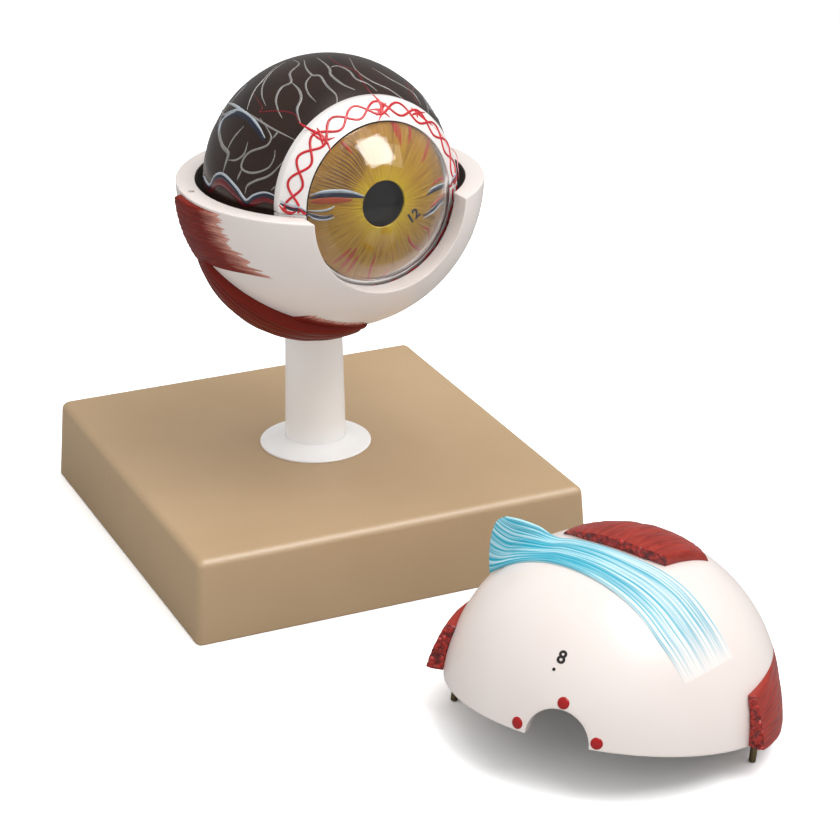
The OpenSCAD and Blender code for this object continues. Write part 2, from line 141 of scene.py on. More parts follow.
def area_lamp(name, place, size, power, aim, side):
    """A square lamp that faces aim, with one edge along side."""
    light = bpy.data.lights.new(name, "AREA")
    light.size = size
    light.energy = power
    back = (Vector(place) - aim).normalized()
    right = (side - back * side.dot(back)).normalized()
    turn = Matrix((right, back.cross(right), back)).transposed()
    lamp = piece_object(name, light)
    lamp.matrix_world = Matrix.Translation(place) @ turn.to_4x4()
    return lamp


def make_floor():
    mesh = bpy.data.meshes.new("floor")
    reach = FLOOR_M / 2
    mesh.from_pydata([(-reach, -reach, 0), (reach, -reach, 0), (reach, reach, 0), (-reach, reach, 0)],
                     [], [(0, 1, 2, 3)])
    piece_object("floor", mesh)
    material, tree, surface = new_material("floor")
    fill(surface, Roughness=0.6, Specular_IOR_Level=0.1,
         Base_Color=three_views(tree, FLOOR_FELT, FLOOR_SEEN, FLOOR_MIRRORED))
    spot = add_node(tree, "ShaderNodeTexCoord").outputs["Object"]
    away = add_node(tree, "ShaderNodeVectorMath", {"operation": "LENGTH"}, i0=spot).outputs["Value"]
    seen = add_node(tree, "ShaderNodeLightPath").outputs["Is Camera Ray"]
    faded = maths(tree, "MULTIPLY", spread(tree, away, *FLOOR_FADES, interpolation_type="SMOOTHSTEP"), seen)
    white = add_node(tree, "ShaderNodeEmission").outputs[0]
    sweep = add_node(tree, "ShaderNodeMixShader", i0=faded, i1=surface.outputs[0], i2=white)
    fill(tree.nodes["Material Output"], Surface=sweep.outputs[0])
    mesh.materials.append(material)


def make_lights():
    for name, (place, size, power, mirrored) in LAMPS.items():
        area_lamp(name, place, size, power, LAMP_AIM, Vector((1, 0, 0))).visible_glossy = mirrored
    sheen = area_lamp("window_sheen", WINDOW_AT, WINDOW_M, WINDOW_SHEEN, WINDOW_AIM, WINDOW_SIDE)
    sheen.visible_diffuse = False
    world = bpy.data.worlds.new("studio")
    world.use_nodes = True
    scene.world = world
    tree = world.node_tree
    fill(tree.nodes["Background"], Color=(1, 1, 1, 1),
         Strength=three_views(tree, WORLD_LIGHT, 1.0, WORLD_MIRRORED))


make_floor()
make_lights()


# ---------------------------------------------------------------- base
# A square hollow moulding in tan plastic with a fine matt grain. Its sides lean in
# towards the top so that it leaves the mould, and its underside takes a cover plate.
BASE_W = 200
BASE_D = 210
BASE_H = 41
BASE_DRAFT = 2.2
BASE_EDGE = 4
BASE_CORNER = 3.2
BASE_WALL = 4.5
BASE_FOOT = 0.8
BASE_INNER_EDGE = 2
BASE_INNER_CORNER = 3
BASE_SHEEN = 1.2


def paint(red, green, blue):
    """A linear colour from the 0 to 255 values of a paint chart."""
    def linear(value):
        value /= 255
        return value / 12.92 if value <= 0.04045 else ((value + 0.055) / 1.055) ** 2.4
    return (linear(red), linear(green), linear(blue), 1)


BASE_TAN = paint(187, 157, 118)
BASE_DARK = paint(173, 142, 102)


def neighbours(count, closed):
    """Each number with the next one, and the last with the first where the row is closed."""
    return [(k, (k + 1) % count) for k in range(count if closed else count - 1)]


def numbered(rows, columns, first=0):
    """Rows of point numbers, from first on."""
    return [range(first + k * columns, first + (k + 1) * columns) for k in range(rows)]


def quads(rows, closed=False):
    """Faces between rows of point numbers."""
    return [(a[i], b[i], b[j], a[j]) for a, b in zip(rows, rows[1:]) for i, j in neighbours(len(a), closed)]


def smooth(mesh, crease):
    """Smooth faces that meet in a sharp edge past crease degrees."""
    mesh.polygons.foreach_set("use_smooth", [True] * len(mesh.polygons))
    mesh.set_sharp_from_angle(angle=math.radians(crease))


def make_piece(name, place, points, faces, material, crease=32):
    """A mesh piece from points in millimetres in the frame of place."""
    mesh = bpy.data.meshes.new(name)
    mesh.from_pydata([(place @ Vector(p)) / 1000 for p in points], [], faces)
    mesh.validate()
    mesh.materials.append(material)
    smooth(mesh, crease)
    return piece_object(name, mesh)


def outward(made):
    """Turns all faces of a closed piece outwards."""
    bm = bmesh.new()
    bm.from_mesh(made.data)
    bmesh.ops.recalc_face_normals(bm, faces=bm.faces)
    bm.to_mesh(made.data)
    bm.free()
    return made


def hold(piece, body, slot, *nodes):
    """The piece rides on its body and stands for the CAD nodes."""
    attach(piece, body)
    if nodes:
        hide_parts(*nodes)


def new_group(name, inputs, outputs, kind="ShaderNodeTree"):
    """A node group with named inputs, given as (name, kind of socket, value), and outputs."""
    group = bpy.data.node_groups.new(name, kind)
    for label, socket, value in inputs:
        made = group.interface.new_socket(name=label, in_out="INPUT", socket_type="NodeSocket" + socket)
        if value is not None:
            made.default_value = value
    for label, socket in outputs:
        group.interface.new_socket(name=label, in_out="OUTPUT", socket_type="NodeSocket" + socket)
    return group, group.nodes.new("NodeGroupInput").outputs, group.nodes.new("NodeGroupOutput")


def speckle(tree, scale, detail=2.0, roughness=0.5, distortion=0.0):
    """Soft spots through the piece's own space."""
    spot = add_node(tree, "ShaderNodeTexCoord").outputs["Object"]
    return add_node(tree, "ShaderNodeTexNoise", Vector=spot, Scale=scale, Detail=detail,
                    Roughness=roughness, Distortion=distortion).outputs["Fac"]


def blend(tree, share, first, second):
    """A colour on the way from the first to the second."""
    return add_node(tree, "ShaderNodeMix", {"data_type": "RGBA"}, Factor=share, i6=first,
                    i7=second).outputs[2]


def bumped(tree, height, depth, strength, inward=False):
    """The normal of a surface that rises, or falls inward, by depth in metres with the height."""
    return add_node(tree, "ShaderNodeBump", {"invert": inward}, Distance=depth, Strength=strength,
                    Height=height).outputs[0]


def moulded_group():
    """Moulded or painted plastic: a drifting tint, a fine grain and small scuffs."""
    group, given, out = new_group("moulded_skin", [
        ("Colour", "Color", (0.8, 0.8, 0.8, 1)), ("Shade", "Color", (0.7, 0.7, 0.7, 1)),
        ("Grain Size", "Float", 900.0), ("Drift Size", "Float", 22.0),
        ("Roughness", "Float", 0.4), ("Scuffs", "Float", 0.3),
    ], [("Colour", "Color"), ("Roughness", "Float"), ("Height", "Float")])
    drift = spread(group, speckle(group, given["Drift Size"], 4.0, 0.6), 0.3, 0.75)
    grain = speckle(group, given["Grain Size"], 2.0, 0.7)
    scuff = spread(group, speckle(group, 70.0, 6.0, 0.75, 1.5), 0.58, 0.72)
    worn = maths(group, "MULTIPLY", scuff, given["Scuffs"])
    rough = maths(group, "MULTIPLY_ADD", worn, 0.25, given["Roughness"])
    rough = maths(group, "MULTIPLY_ADD", grain, 0.08, rough)
    fill(out, Colour=blend(group, drift, given["Colour"], given["Shade"]), Roughness=rough, Height=grain)
    return group


MOULDED_SKIN = moulded_group()


def moulded_plastic(name, colour, shade, roughness=0.4, grain=900.0, depth=0.00004, gloss=0.0, drift=22.0,
                    scuffs=0.3, sheen=0.5):
    material, tree, surface = new_material(name)
    skin = add_node(tree, "ShaderNodeGroup", {"node_tree": MOULDED_SKIN}, Colour=colour, Shade=shade,
                    Grain_Size=grain, Drift_Size=drift, Roughness=roughness, Scuffs=scuffs).outputs
    fill(surface, Base_Color=skin["Colour"], Roughness=skin["Roughness"], Specular_IOR_Level=sheen,
         Coat_Weight=gloss, Coat_Roughness=0.08, Normal=bumped(tree, skin["Height"], depth, 0.6))
    return material


def rounded_loop(inset, corner, z):
    """The base's outline at height z, moved inwards, with its corners rounded."""
    points = []
    steps = 10
    for k, (sx, sy) in enumerate([(1, 1), (-1, 1), (-1, -1), (1, -1)]):
        for i in range(steps + 1):
            turn = math.radians(90 * (k + i / steps))
            points.append((sx * (BASE_W / 2 - inset - corner) + corner * math.cos(turn),
                           sy * (BASE_D / 2 - inset - corner) + corner * math.sin(turn), z))
    return points


def make_base():
    inside = BASE_DRAFT + BASE_WALL
    ceiling = BASE_H - BASE_WALL
    loops = [rounded_loop(inside + BASE_INNER_EDGE, BASE_INNER_CORNER, ceiling),
             rounded_loop(inside, BASE_INNER_CORNER, ceiling - BASE_INNER_EDGE),
             rounded_loop(inside, BASE_INNER_CORNER, 0)]
    for k in range(4):
        turn = math.radians(30 * k)
        inset = BASE_FOOT * (1 - math.sin(turn))
        loops.append(rounded_loop(inset, BASE_CORNER - inset, BASE_FOOT * (1 - math.cos(turn))))
    for k in range(10):
        turn = math.radians(9.5 * k)
        corner = max(BASE_CORNER * math.cos(turn), 0.4) + 0.6 * math.sin(turn)
        loops.append(rounded_loop(BASE_DRAFT + BASE_EDGE * (1 - math.cos(turn)), corner,
                                  BASE_H - BASE_EDGE * (1 - math.sin(turn))))
    loops.append(rounded_loop(BASE_DRAFT + BASE_EDGE + 1, 0.5, BASE_H))
    rows = numbered(len(loops), len(loops[0]))
    faces = quads(rows, closed=True) + [tuple(rows[0]), tuple(rows[-1])]
    tan = moulded_plastic("tan_plastic", BASE_TAN, BASE_DARK, roughness=0.5, grain=520.0, depth=0.00018,
                          drift=5.0, scuffs=0.35, sheen=BASE_SHEEN)
    base = make_piece("base", Matrix(), sum(loops, []), faces, tan, crease=60)
    hold(outward(base), "stand", "base", "base_block")


make_base()


# ---------------------------------------------------------------- underside
# A dark cover plate closes the base from below, held by four countersunk screws.
# Plated steel screws hold the post to the base and the eye to the post.
PLATE_BROWN = paint(92, 76, 60)
STEEL = paint(196, 198, 202)


def plated_steel(name, colour, roughness):
    material, tree, surface = new_material(name)
    turned_marks = speckle(tree, 1600.0, 3.0)
    worn = tuple(0.7 * c for c in colour[:3]) + (1,)
    fill(surface, Metallic=1, Base_Color=blend(tree, turned_marks, colour, worn),
         Roughness=spread(tree, turned_marks, 0, 1, roughness - 0.08, roughness + 0.12))
    return material


def repaint(material, slot, *nodes):
    """CAD nodes whose own shape is right get their finish."""
    for node in nodes:
        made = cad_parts[node]
        made.data.materials.clear()
        made.data.materials.append(material)


repaint(moulded_plastic("dark_plate", PLATE_BROWN, paint(74, 60, 48), roughness=0.55), "cover", "base_cover")
repaint(plated_steel("plated_steel", STEEL, 0.3), "screw", "cover_screws", "post_screw", "post_washer",
        "cup_screw")


# ---------------------------------------------------------------- post
# A white tube that tapers a little upwards, glued into a thin turned flange on the base.
# Its top end is hollowed to the round underside of the eye, which a screw pulls down on it.
POST_AT = Vector((2, 0.5, 0))
POST_FOOT_R = 15
POST_TOP_R = 13.6
POST_GAP = 0.05
FLANGE_R = 27.5
FLANGE_EDGE = 1.3
FLANGE_H = 4.2
EYE_RISE = 144.8
EYE_FORWARD = 22.3
EYE_SIDE = 0.6
SCLERA_R = 72
EYE_CENTRE = Vector((POST_AT.x + EYE_SIDE, POST_AT.y - EYE_FORWARD, BASE_H + EYE_RISE))
POST_WHITE = paint(250, 249, 248)


def arc(radius, first, last, steps, middle=(0, 0)):
    """A profile's arc, as (distance from the axis, place along it), by angles from the axis."""
    turns = [first + (last - first) * k / steps for k in range(steps + 1)]
    return [(middle[0] + radius * math.sin(turn), middle[1] + radius * math.cos(turn)) for turn in turns]


def turned(profile, steps=128, closed=True, place=Matrix()):
    """Points and faces of a profile of (radius, height) turned about the upright axis of place."""
    turns = [2 * math.pi * k / steps for k in range(steps)]
    points = [place @ Vector((r * math.cos(turn), r * math.sin(turn), z))
              for turn in turns for r, z in profile]
    rows = numbered(steps, len(profile))
    return points, quads(rows + rows[:1], closed)


def make_post():
    white = moulded_plastic("post_white", POST_WHITE, paint(246, 243, 240), roughness=0.32, gloss=0.25,
                            depth=0.00003, drift=30.0)
    steps, rings = 96, 14
    points = []
    for j in range(rings):
        share = j / (rings - 1)
        radius = POST_FOOT_R + (POST_TOP_R - POST_FOOT_R) * share
        for k in range(steps):
            turn = 2 * math.pi * k / steps
            spot = POST_AT + Vector((radius * math.cos(turn), radius * math.sin(turn), 0))
            off = (spot - EYE_CENTRE).xy.length
            top = EYE_CENTRE.z - math.sqrt(SCLERA_R ** 2 - off ** 2) - POST_GAP
            points.append((spot.x, spot.y, BASE_H + (top - BASE_H) * share))
    rows = numbered(rings, steps)
    seat = EYE_CENTRE.z - math.sqrt(SCLERA_R ** 2 - EYE_FORWARD ** 2) - POST_GAP
    faces = quads(rows, closed=True) + [tuple(rows[0])]
    faces += [(rows[-1][a], rows[-1][b], len(points)) for a, b in neighbours(steps, True)]
    points.append((POST_AT.x, POST_AT.y, seat))
    hold(outward(make_piece("post", Matrix(), points, faces, white)), "stand", "post", "stand_post")
    inner = POST_FOOT_R + 0.02
    outer = FLANGE_R - 1.2
    profile = [(inner, POST_GAP), (FLANGE_R - 0.3, POST_GAP)]
    profile += arc(FLANGE_EDGE / 2, math.radians(150), math.radians(-10), 8,
                   (FLANGE_R - FLANGE_EDGE / 2, FLANGE_EDGE / 2))
    for share in (k / 12 for k in range(1, 12)):
        profile.append((outer + (inner + 0.4 - outer) * share,
                        FLANGE_EDGE + (FLANGE_H - FLANGE_EDGE) * (0.45 * share + 0.55 * share ** 4)))
    profile.append((inner, FLANGE_H))
    foot = Matrix.Translation(POST_AT + Vector((0, 0, BASE_H)))
    hold(make_piece("flange", foot, *turned(profile), white), "stand", "post", "post_flange")


make_post()


# ---------------------------------------------------------------- white shell
# The sclera: a thick white shell in two cast halves that part at the eye's middle. Each
# has half of the round front opening and half of the hole for the optic nerve. The upper
# half carries two dowels, and the lower half's flat rim has the holes for them.
SCLERA_IN = 63
OPENING_R = 38.2
NERVE_HOLE_R = 13.7
GAZE_YAW = 4
DOWEL_R = 1.5
DOWEL_EDGE = 0.35
DOWEL_HOLE_R = 1.58
DOWEL_RING = 67.5
DOWEL_BACK = math.radians(7)
DOWEL_OUT_NOSE = 18
DOWEL_OUT_TEMPLE = 12
DOWEL_IN = 9
SCREW_WELL_R = 5.8
SCREW_HOLE_R = 3.3
SCREW_SEAT = 4.6
SCREW_HOLE_TOP = 10
SCREW_DRILL = 24
CAP_X = 38.8
CAP_Y = -239.5
CAP_YAW = -47.6
CAP_GAP = 0.05
EDGE_ROUND = 0.55
SHELL_CREASE = 42
SHELL_WHITE = paint(236, 227, 222)
SHELL_ROSE = paint(228, 216, 210)
# The shells' inner faces get a darker, duller paint: painted shade inside the shells.
SHELL_INSIDE_SHADE = paint(124, 114, 108)
DOWEL_BRASS = paint(150, 132, 100)

in_eye = Matrix.Translation(EYE_CENTRE) @ Matrix.Rotation(math.radians(180 + GAZE_YAW), 4, "Z")
dowel_x = DOWEL_RING * math.cos(DOWEL_BACK)
dowel_y = -DOWEL_RING * math.sin(DOWEL_BACK)
cap_foot_nose = Vector((-dowel_x, dowel_y, -DOWEL_OUT_NOSE))
cap_foot_temple = Vector((dowel_x, dowel_y, -DOWEL_OUT_TEMPLE))
cap_corner = Vector((OPENING_R, math.sqrt(SCLERA_R ** 2 - OPENING_R ** 2), 0))
cap_up = (cap_foot_temple - cap_foot_nose).cross(cap_corner - cap_foot_temple).normalized()
cap_lean = Euler((math.asin(cap_up.y), math.atan2(-cap_up.x, cap_up.z), 0)).to_matrix().to_4x4()
in_cap = (Matrix.Translation((CAP_X, CAP_Y, CAP_GAP - cap_up.dot(cap_corner)))
          @ Matrix.Rotation(math.radians(CAP_YAW), 4, "Z") @ cap_lean)


def bake_modifiers(made):
    """Turns the evaluated object into its plain mesh."""
    ready = bpy.data.meshes.new_from_object(made.evaluated_get(bpy.context.evaluated_depsgraph_get()))
    made.modifiers.clear()
    made.data = ready


def soften_edges(made, width):
    """Rounds a piece's sharp edges for good, and keeps its broad faces smooth."""
    bevel = made.modifiers.new("round", "BEVEL")
    bevel.width = width / 1000
    bevel.segments = 3
    bevel.limit_method = "ANGLE"
    bevel.angle_limit = math.radians(40)
    bake_modifiers(made)
    smooth(made.data, SHELL_CREASE)


def weld(made):
    """Joins the points that a turned profile leaves on its axis."""
    bm = bmesh.new()
    bm.from_mesh(made.data)
    bmesh.ops.remove_doubles(bm, verts=bm.verts, dist=0.00003)
    bmesh.ops.dissolve_degenerate(bm, edges=bm.edges, dist=0.000001)
    bm.to_mesh(made.data)
    bm.free()
    return made


def half_shell(name, place, outer, inner, material, upper, lift=0.0, edge=EDGE_ROUND):
    """Half a hollow body of revolution about the gaze, between matching outer and inner profiles.

    The profiles are (distance from the gaze axis, place along it). lift opens the seam.
    """
    n = len(outer)
    steps = 96
    side = 1 if upper else -1
    points = []
    for k in range(steps + 1):
        turn = math.pi * k / steps
        for r, y in outer + inner[::-1]:
            sideways, up = r * math.cos(turn), r * math.sin(turn)
            if up < lift:
                sideways, up = math.copysign(math.sqrt(max(r * r - lift * lift, 0)), sideways), lift
            points.append((sideways, y, side * up))
    rows = numbered(steps + 1, 2 * n)
    faces = quads(rows, closed=True)
    for row in (rows[0], rows[-1]):
        faces += quads([row[:n], row[:n - 1:-1]])
    made = outward(weld(make_piece(name, place, points, faces, material)))
    soften_edges(made, edge)
    return made


def sphere_profile(radius, front_r, back_r, steps):
    """A sphere's profile between the round openings of the given radii at the front and back."""
    return arc(radius, math.asin(front_r / radius), math.pi - math.asin(back_r / radius), steps)


def drill(made, place, radius, top, depth):
    """Cuts a round hole downwards from top for depth millimetres, at place's origin."""
    bm = bmesh.new()
    bmesh.ops.create_cone(bm, cap_ends=True, segments=40, radius1=radius, radius2=radius, depth=depth,
                          matrix=Matrix.Translation((0, 0, top - depth / 2)))
    mesh = bpy.data.meshes.new("drill")
    bm.to_mesh(mesh)
    bm.free()
    mesh.transform(Matrix.Scale(0.001, 4) @ place)
    tool = piece_object("drill", mesh)
    cut = made.modifiers.new("hole", "BOOLEAN")
    cut.operation = "DIFFERENCE"
    cut.solver = "EXACT"
    cut.object = tool
    bake_modifiers(made)
    bpy.data.objects.remove(tool)


def together(bodies):
    """Points and faces of several bodies, as those of one."""
    points, faces = [], []
    for some, made in bodies:
        faces += [tuple(i + len(points) for i in face) for face in made]
        points += some
    return points, faces


def line_inside(made, place, bare):
    """Paints the faces that look into a shell darker, as painted shade inside it."""
    smooth(made.data, SHELL_CREASE)
    made.data.materials.append(bare)
    for face in made.data.polygons:
        if (face.center * 1000 - place.translation).length < SCLERA_IN + 0.2:
            face.material_index = 1


def make_shells():
    shell = {"roughness": 0.3, "gloss": 0.35, "drift": 9.0, "grain": 380.0, "depth": 0.00005}
    white = moulded_plastic("shell_white", SHELL_WHITE, SHELL_ROSE, **shell)
    outer = sphere_profile(SCLERA_R, OPENING_R, NERVE_HOLE_R, 72)
    inner = sphere_profile(SCLERA_IN, OPENING_R, NERVE_HOLE_R, 72)
    lower = half_shell("lower_shell", in_eye, outer, inner, white, upper=False)
    for side in (-1, 1):
        drill(lower, in_eye @ Matrix.Translation((side * dowel_x, dowel_y, 0)), DOWEL_HOLE_R, 2,
              DOWEL_OUT_NOSE + 2)
    under = EYE_CENTRE.z - math.sqrt(SCLERA_R ** 2 - EYE_FORWARD ** 2 - EYE_SIDE ** 2)
    post_axis = Matrix.Translation((POST_AT.x, POST_AT.y, under))
    drill(lower, post_axis, SCREW_WELL_R, SCREW_DRILL, SCREW_DRILL - SCREW_SEAT)
    drill(lower, post_axis, SCREW_HOLE_R, SCREW_HOLE_TOP, SCREW_DRILL)
    hold(lower, "stand", "sclera", "sclera_lower")
    upper = half_shell("upper_shell", in_cap, outer, inner, white, upper=True)
    for side in (-1, 1):
        drill(upper, in_cap @ Matrix.Translation((side * dowel_x, dowel_y, 0)), DOWEL_R + 0.02, DOWEL_IN, 12)
    hold(upper, "cap", "sclera", "sclera_upper")
    # The darker paint inside both shells is painted shade.
    shell.update(roughness=0.45, gloss=0.0)
    bare = moulded_plastic("shell_inside_shade", SHELL_INSIDE_SHADE, paint(112, 103, 98), **shell)
    line_inside(lower, in_eye, bare)
    line_inside(upper, in_cap, bare)
    dowels = []
    for foot in (cap_foot_nose, cap_foot_temple):
        length = DOWEL_IN - foot.z
        end_r = DOWEL_R - DOWEL_EDGE
        profile = [(0.01, 0), (end_r, 0), (DOWEL_R, DOWEL_EDGE), (DOWEL_R, length - DOWEL_EDGE),
                   (end_r, length), (0.01, length)]
        dowels.append(turned(profile, 32, False, Matrix.Translation(foot)))
    brass = plated_steel("dowel_brass", DOWEL_BRASS, 0.35)
    hold(make_piece("shell_dowels", in_cap, *together(dowels), brass), "cap", "dowel", "sclera_dowels")


make_shells()


# ---------------------------------------------------------------- muscles on the lower half
# Cast and painted straight and slanting eye muscles, in one with the shell. Their fibres run
# towards the front and fray out there into pale, ragged ends.
MUSCLE_RED = paint(124, 32, 20)
MUSCLE_DARK = paint(72, 12, 7)
MUSCLE_PALE = paint(172, 78, 58)
MUSCLE_END = paint(214, 158, 142)
MUSCLE_DEEP = paint(116, 28, 15)
LATERAL_PUSH = Vector((3, -5.2, 3))
LATERAL_HIGH = [(72, -10, -1.2), (71.6, 8, -1.2), (66.5, 25, -1.2)]
LATERAL_LOW = [(63.5, -10, -33), (63.5, 12, -31), (58, 30, -29), (48, 45, -29)]
LATERAL_SLANT = 0.13
OBLIQUE_PUSH = Vector((0.5, 0.13, -0.86)).normalized() * 23
OBLIQUE_R = 56
OBLIQUE_AXIS = Vector((-0.096, 0.575, 0.813)).normalized()
OBLIQUE_HIGH = -0.394
OBLIQUE_LOW = -0.778
OBLIQUE_FROM = 92
OBLIQUE_TURN = 108
OBLIQUE_HOOK = 0.06
INFERIOR_NEAR = [(37, 30, -53.5), (24, 36.5, -57), (3, 38.5, -60.5)]
INFERIOR_FAR = [(30, 42, -50.5), (19, 41.5, -56), (4, 41, -59)]
INFERIOR_T = 1.1
UNDER_SKIN = 0.06
THIN_SKIN = 0.03


def through(points, share):
    """The point at a share of a smooth line through the given points."""
    points = [Vector(p) for p in points]
    place = min(max(share, 0), 1) * (len(points) - 1)
    k = min(int(place), len(points) - 2)
    t = place - k
    before = points[k - 1] if k else points[0] * 2 - points[1]
    after = points[k + 2] if k + 2 < len(points) else points[-1] * 2 - points[-2]
    a, b = points[k], points[k + 1]
    return (a * 2 + (b - before) * t + (before * 2 - a * 5 + b * 4 - after) * t * t
            + (a * 3 - before - b * 3 + after) * t ** 3) / 2


def hump(direction, push, radius):
    """How far a sphere moved by push stands proud of the shell in a direction."""
    along = push.dot(direction)
    return along + math.sqrt(max(radius ** 2 - push.length_squared + along * along, 0)) - SCLERA_R


def side_hump(direction, push):
    """The hump of a straight muscle, the same on the temple's side and on the nose's."""
    return hump(Vector((abs(direction.x), direction.y, direction.z)), push, SCLERA_R)


def nose_side(lay, start):
    """The nose side's copy of a muscle, which begins at a share of its height."""
    def laid(u, v):
        spot = lay(u, start + (1 - start) * v)
        return Vector((-spot.x, spot.y, spot.z))
    return laid


def streaks(tree, detail, roughness, x, y, z=0.0):
    """Noise drawn out by the stretch of its three coordinates."""
    spot = add_node(tree, "ShaderNodeCombineXYZ", X=x, Y=y, Z=z).outputs[0]
    return add_node(tree, "ShaderNodeTexNoise", Vector=spot, Scale=1.0, Detail=detail,
                    Roughness=roughness).outputs["Fac"]


def fibre_group():
    """Fibres along the piece's U, with dark furrows and pale ends, from its own UV map."""
    group, given, out = new_group("fibres", [
        ("Colour", "Color", (0.5, 0.1, 0.1, 1)), ("Dark", "Color", (0.2, 0, 0, 1)),
        ("Pale", "Color", (0.8, 0.5, 0.5, 1)), ("Strands", "Float", 30.0), ("Length", "Float", 2.0),
        ("Darkness", "Float", 0.7), ("Frayed From", "Float", 0.75), ("Frayed", "Float", 1.0),
        ("Strands Last", "Float", 0.0), ("Lit", "Float", 0.35),
    ], [("Colour", "Color"), ("Height", "Float")])
    spot = add_node(group, "ShaderNodeTexCoord").outputs["UV"]
    along, across, _ = add_node(group, "ShaderNodeSeparateXYZ", Vector=spot).outputs
    coarse = streaks(group, 3.0, 0.65, maths(group, "MULTIPLY", along, given["Length"]),
                     maths(group, "MULTIPLY", across, given["Strands"]))
    finer = maths(group, "MULTIPLY", given["Strands"], 3.3)
    fine = streaks(group, 2.0, 0.65, maths(group, "MULTIPLY", along, 6.0),
                   maths(group, "MULTIPLY", across, finer))
    furrow = spread(group, coarse, 0.42, 0.7)
    body = blend(group, maths(group, "MULTIPLY", furrow, given["Darkness"]), given["Colour"], given["Dark"])
    body = blend(group, spread(group, fine, 0.55, 0.8, 0.0, given["Lit"]), body, given["Pale"])
    reach = maths(group, "ADD", maths(group, "MULTIPLY_ADD", fine, -0.55, along), 0.27)
    frayed = spread(group, reach, given["Frayed From"], 1.0, 0.0, given["Frayed"])
    lasting = maths(group, "MULTIPLY", furrow, given["Strands Last"])
    lasting = maths(group, "MULTIPLY", lasting, spread(group, along, 1.0, 0.84))
    bare = maths(group, "MULTIPLY", frayed, maths(group, "SUBTRACT", 1.0, lasting, clamp=True))
    fill(out, Colour=blend(group, bare, body, given["Pale"]), Height=coarse)
    return group


FIBRES = fibre_group()


def fibre_paint(name, colour, dark, pale, gloss, frayed_from, strands, frayed=1.0, length=2.0, darkness=0.7,
                depth=0.0004, lasting=0.0, lit=0.35, roughness=0.42):
    material, tree, surface = new_material(name)
    fibres = add_node(tree, "ShaderNodeGroup", {"node_tree": FIBRES}, Colour=colour, Dark=dark, Pale=pale,
                      Strands=strands, Length=length, Darkness=darkness, Frayed_From=frayed_from,
                      Frayed=frayed, Strands_Last=lasting, Lit=lit).outputs
    fill(surface, Base_Color=fibres["Colour"], Normal=bumped(tree, fibres["Height"], depth, 0.7, inward=True),
         Roughness=roughness, Specular_IOR_Level=0.15, Coat_Weight=gloss, Coat_Roughness=0.15)
    return material


def cut_paint(name, colour, dark):
    """The knobbly cut face across a muscle: bundles of fibres seen end on."""
    material, tree, surface = new_material(name)
    spot = add_node(tree, "ShaderNodeTexCoord").outputs["Object"]
    cells = add_node(tree, "ShaderNodeTexVoronoi", {"feature": "F1"}, Vector=spot, Scale=420.0)
    off = cells.outputs["Distance"]
    fill(surface, Base_Color=blend(tree, spread(tree, off, 0.25, 0.8), colour, dark),
         Normal=bumped(tree, off, 0.0012, 0.9, inward=True), Roughness=0.38, Coat_Weight=0.4)
    return material


def slab(rows, columns, cut=False):
    """Faces of a thin body between two grids of points, left open at the first row for a cut."""
    total = rows * columns
    over, under = numbered(rows, columns), numbered(rows, columns, total)
    border = [row[0] for row in over] + list(over[-1][1:-1]) + [row[-1] for row in reversed(over)]
    faces = quads(over) + quads(under) + quads([border, [k + total for k in border]])
    return faces if cut else faces + quads([over[0], under[0]])


def lay_uvs(made, name, where):
    """A UV map with one place for each point of the mesh."""
    layer = made.data.uv_layers.new(name=name)
    for loop in made.data.loops:
        layer.data[loop.index].uv = where[loop.vertex_index]


def muscle(name, body, node, lay, rise, skin, cut, seed, along=90, across=64, frayed=0.0, strands=14,
           relief=0.35, knobs=0.5, rim=0.05, tip=0.12, rows=7):
    """A muscle on the shell, from its cut face at u = 0 to its frayed end at u = 1.

    lay(u, v) is the direction on the shell, rise(direction) the thickness there. frayed is
    how much shorter the shortest fibre is, and strands and relief shape the fibre bundles.
    """
    chance = random.Random(seed)
    ends = [1 - frayed * chance.random() ** 1.5 for _ in range(across + 1)]
    ends = [(ends[j] + ends[max(j - 1, 0)]) / 2 if j % 3 else ends[j] for j in range(across + 1)]
    foot = SCLERA_R + UNDER_SKIN
    outer, inner, uvs, cut_uvs = [], [], [], []
    for i in range(along + 1):
        for j in range(across + 1):
            u, v = i / along, j / across
            direction = lay(u * ends[j], v).normalized()
            side = min(v, 1 - v)
            round_side = 1 if side >= rim else math.sqrt(max(1 - (1 - side / rim) ** 2, 0))
            thin = round_side * min(1, (1 - u) / tip) ** 0.5
            wobble = noise.noise(Vector((u * 2.2, v * 5, seed)))
            bundle = abs(math.sin(math.pi * (strands * v + 0.9 * wobble))) - 0.6
            ripple = noise.noise(Vector((u * 5, v * 46, seed + 9)))
            height = max(rise(direction), 0) * thin
            height += relief * (bundle + 0.5 * ripple) * thin * min(height / 1.5, 1)
            outer.append(direction * (foot + max(height, THIN_SKIN)))
            inner.append(direction * foot)
            uvs.append((u, v))
    width = across + 1
    points = outer + inner
    faces = slab(along + 1, width, cut=True)
    knobbly = numbered(rows - 1, width, len(points))
    for k in range(1, rows):
        for j in range(width):
            spot = outer[j].lerp(inner[j], k / rows)
            out = (outer[j] - outer[width + j]).normalized()
            points.append(spot + out * (knobs * (0.5 + noise.noise(spot * 0.9)) if 0 < j < across else 0))
            cut_uvs.append((0, j / across))
    cut_faces = quads([range(width)] + knobbly + [range(len(outer), len(outer) + width)])
    made = make_piece(name, in_cap if body == "cap" else in_eye, points, faces + cut_faces, skin, crease=50)
    made.data.materials.append(cut)
    made.data.polygons.foreach_set("material_index", [0] * len(faces) + [1] * len(cut_faces))
    lay_uvs(made, "fibres", uvs * 2 + cut_uvs)
    hold(outward(made), body, "muscle", node)


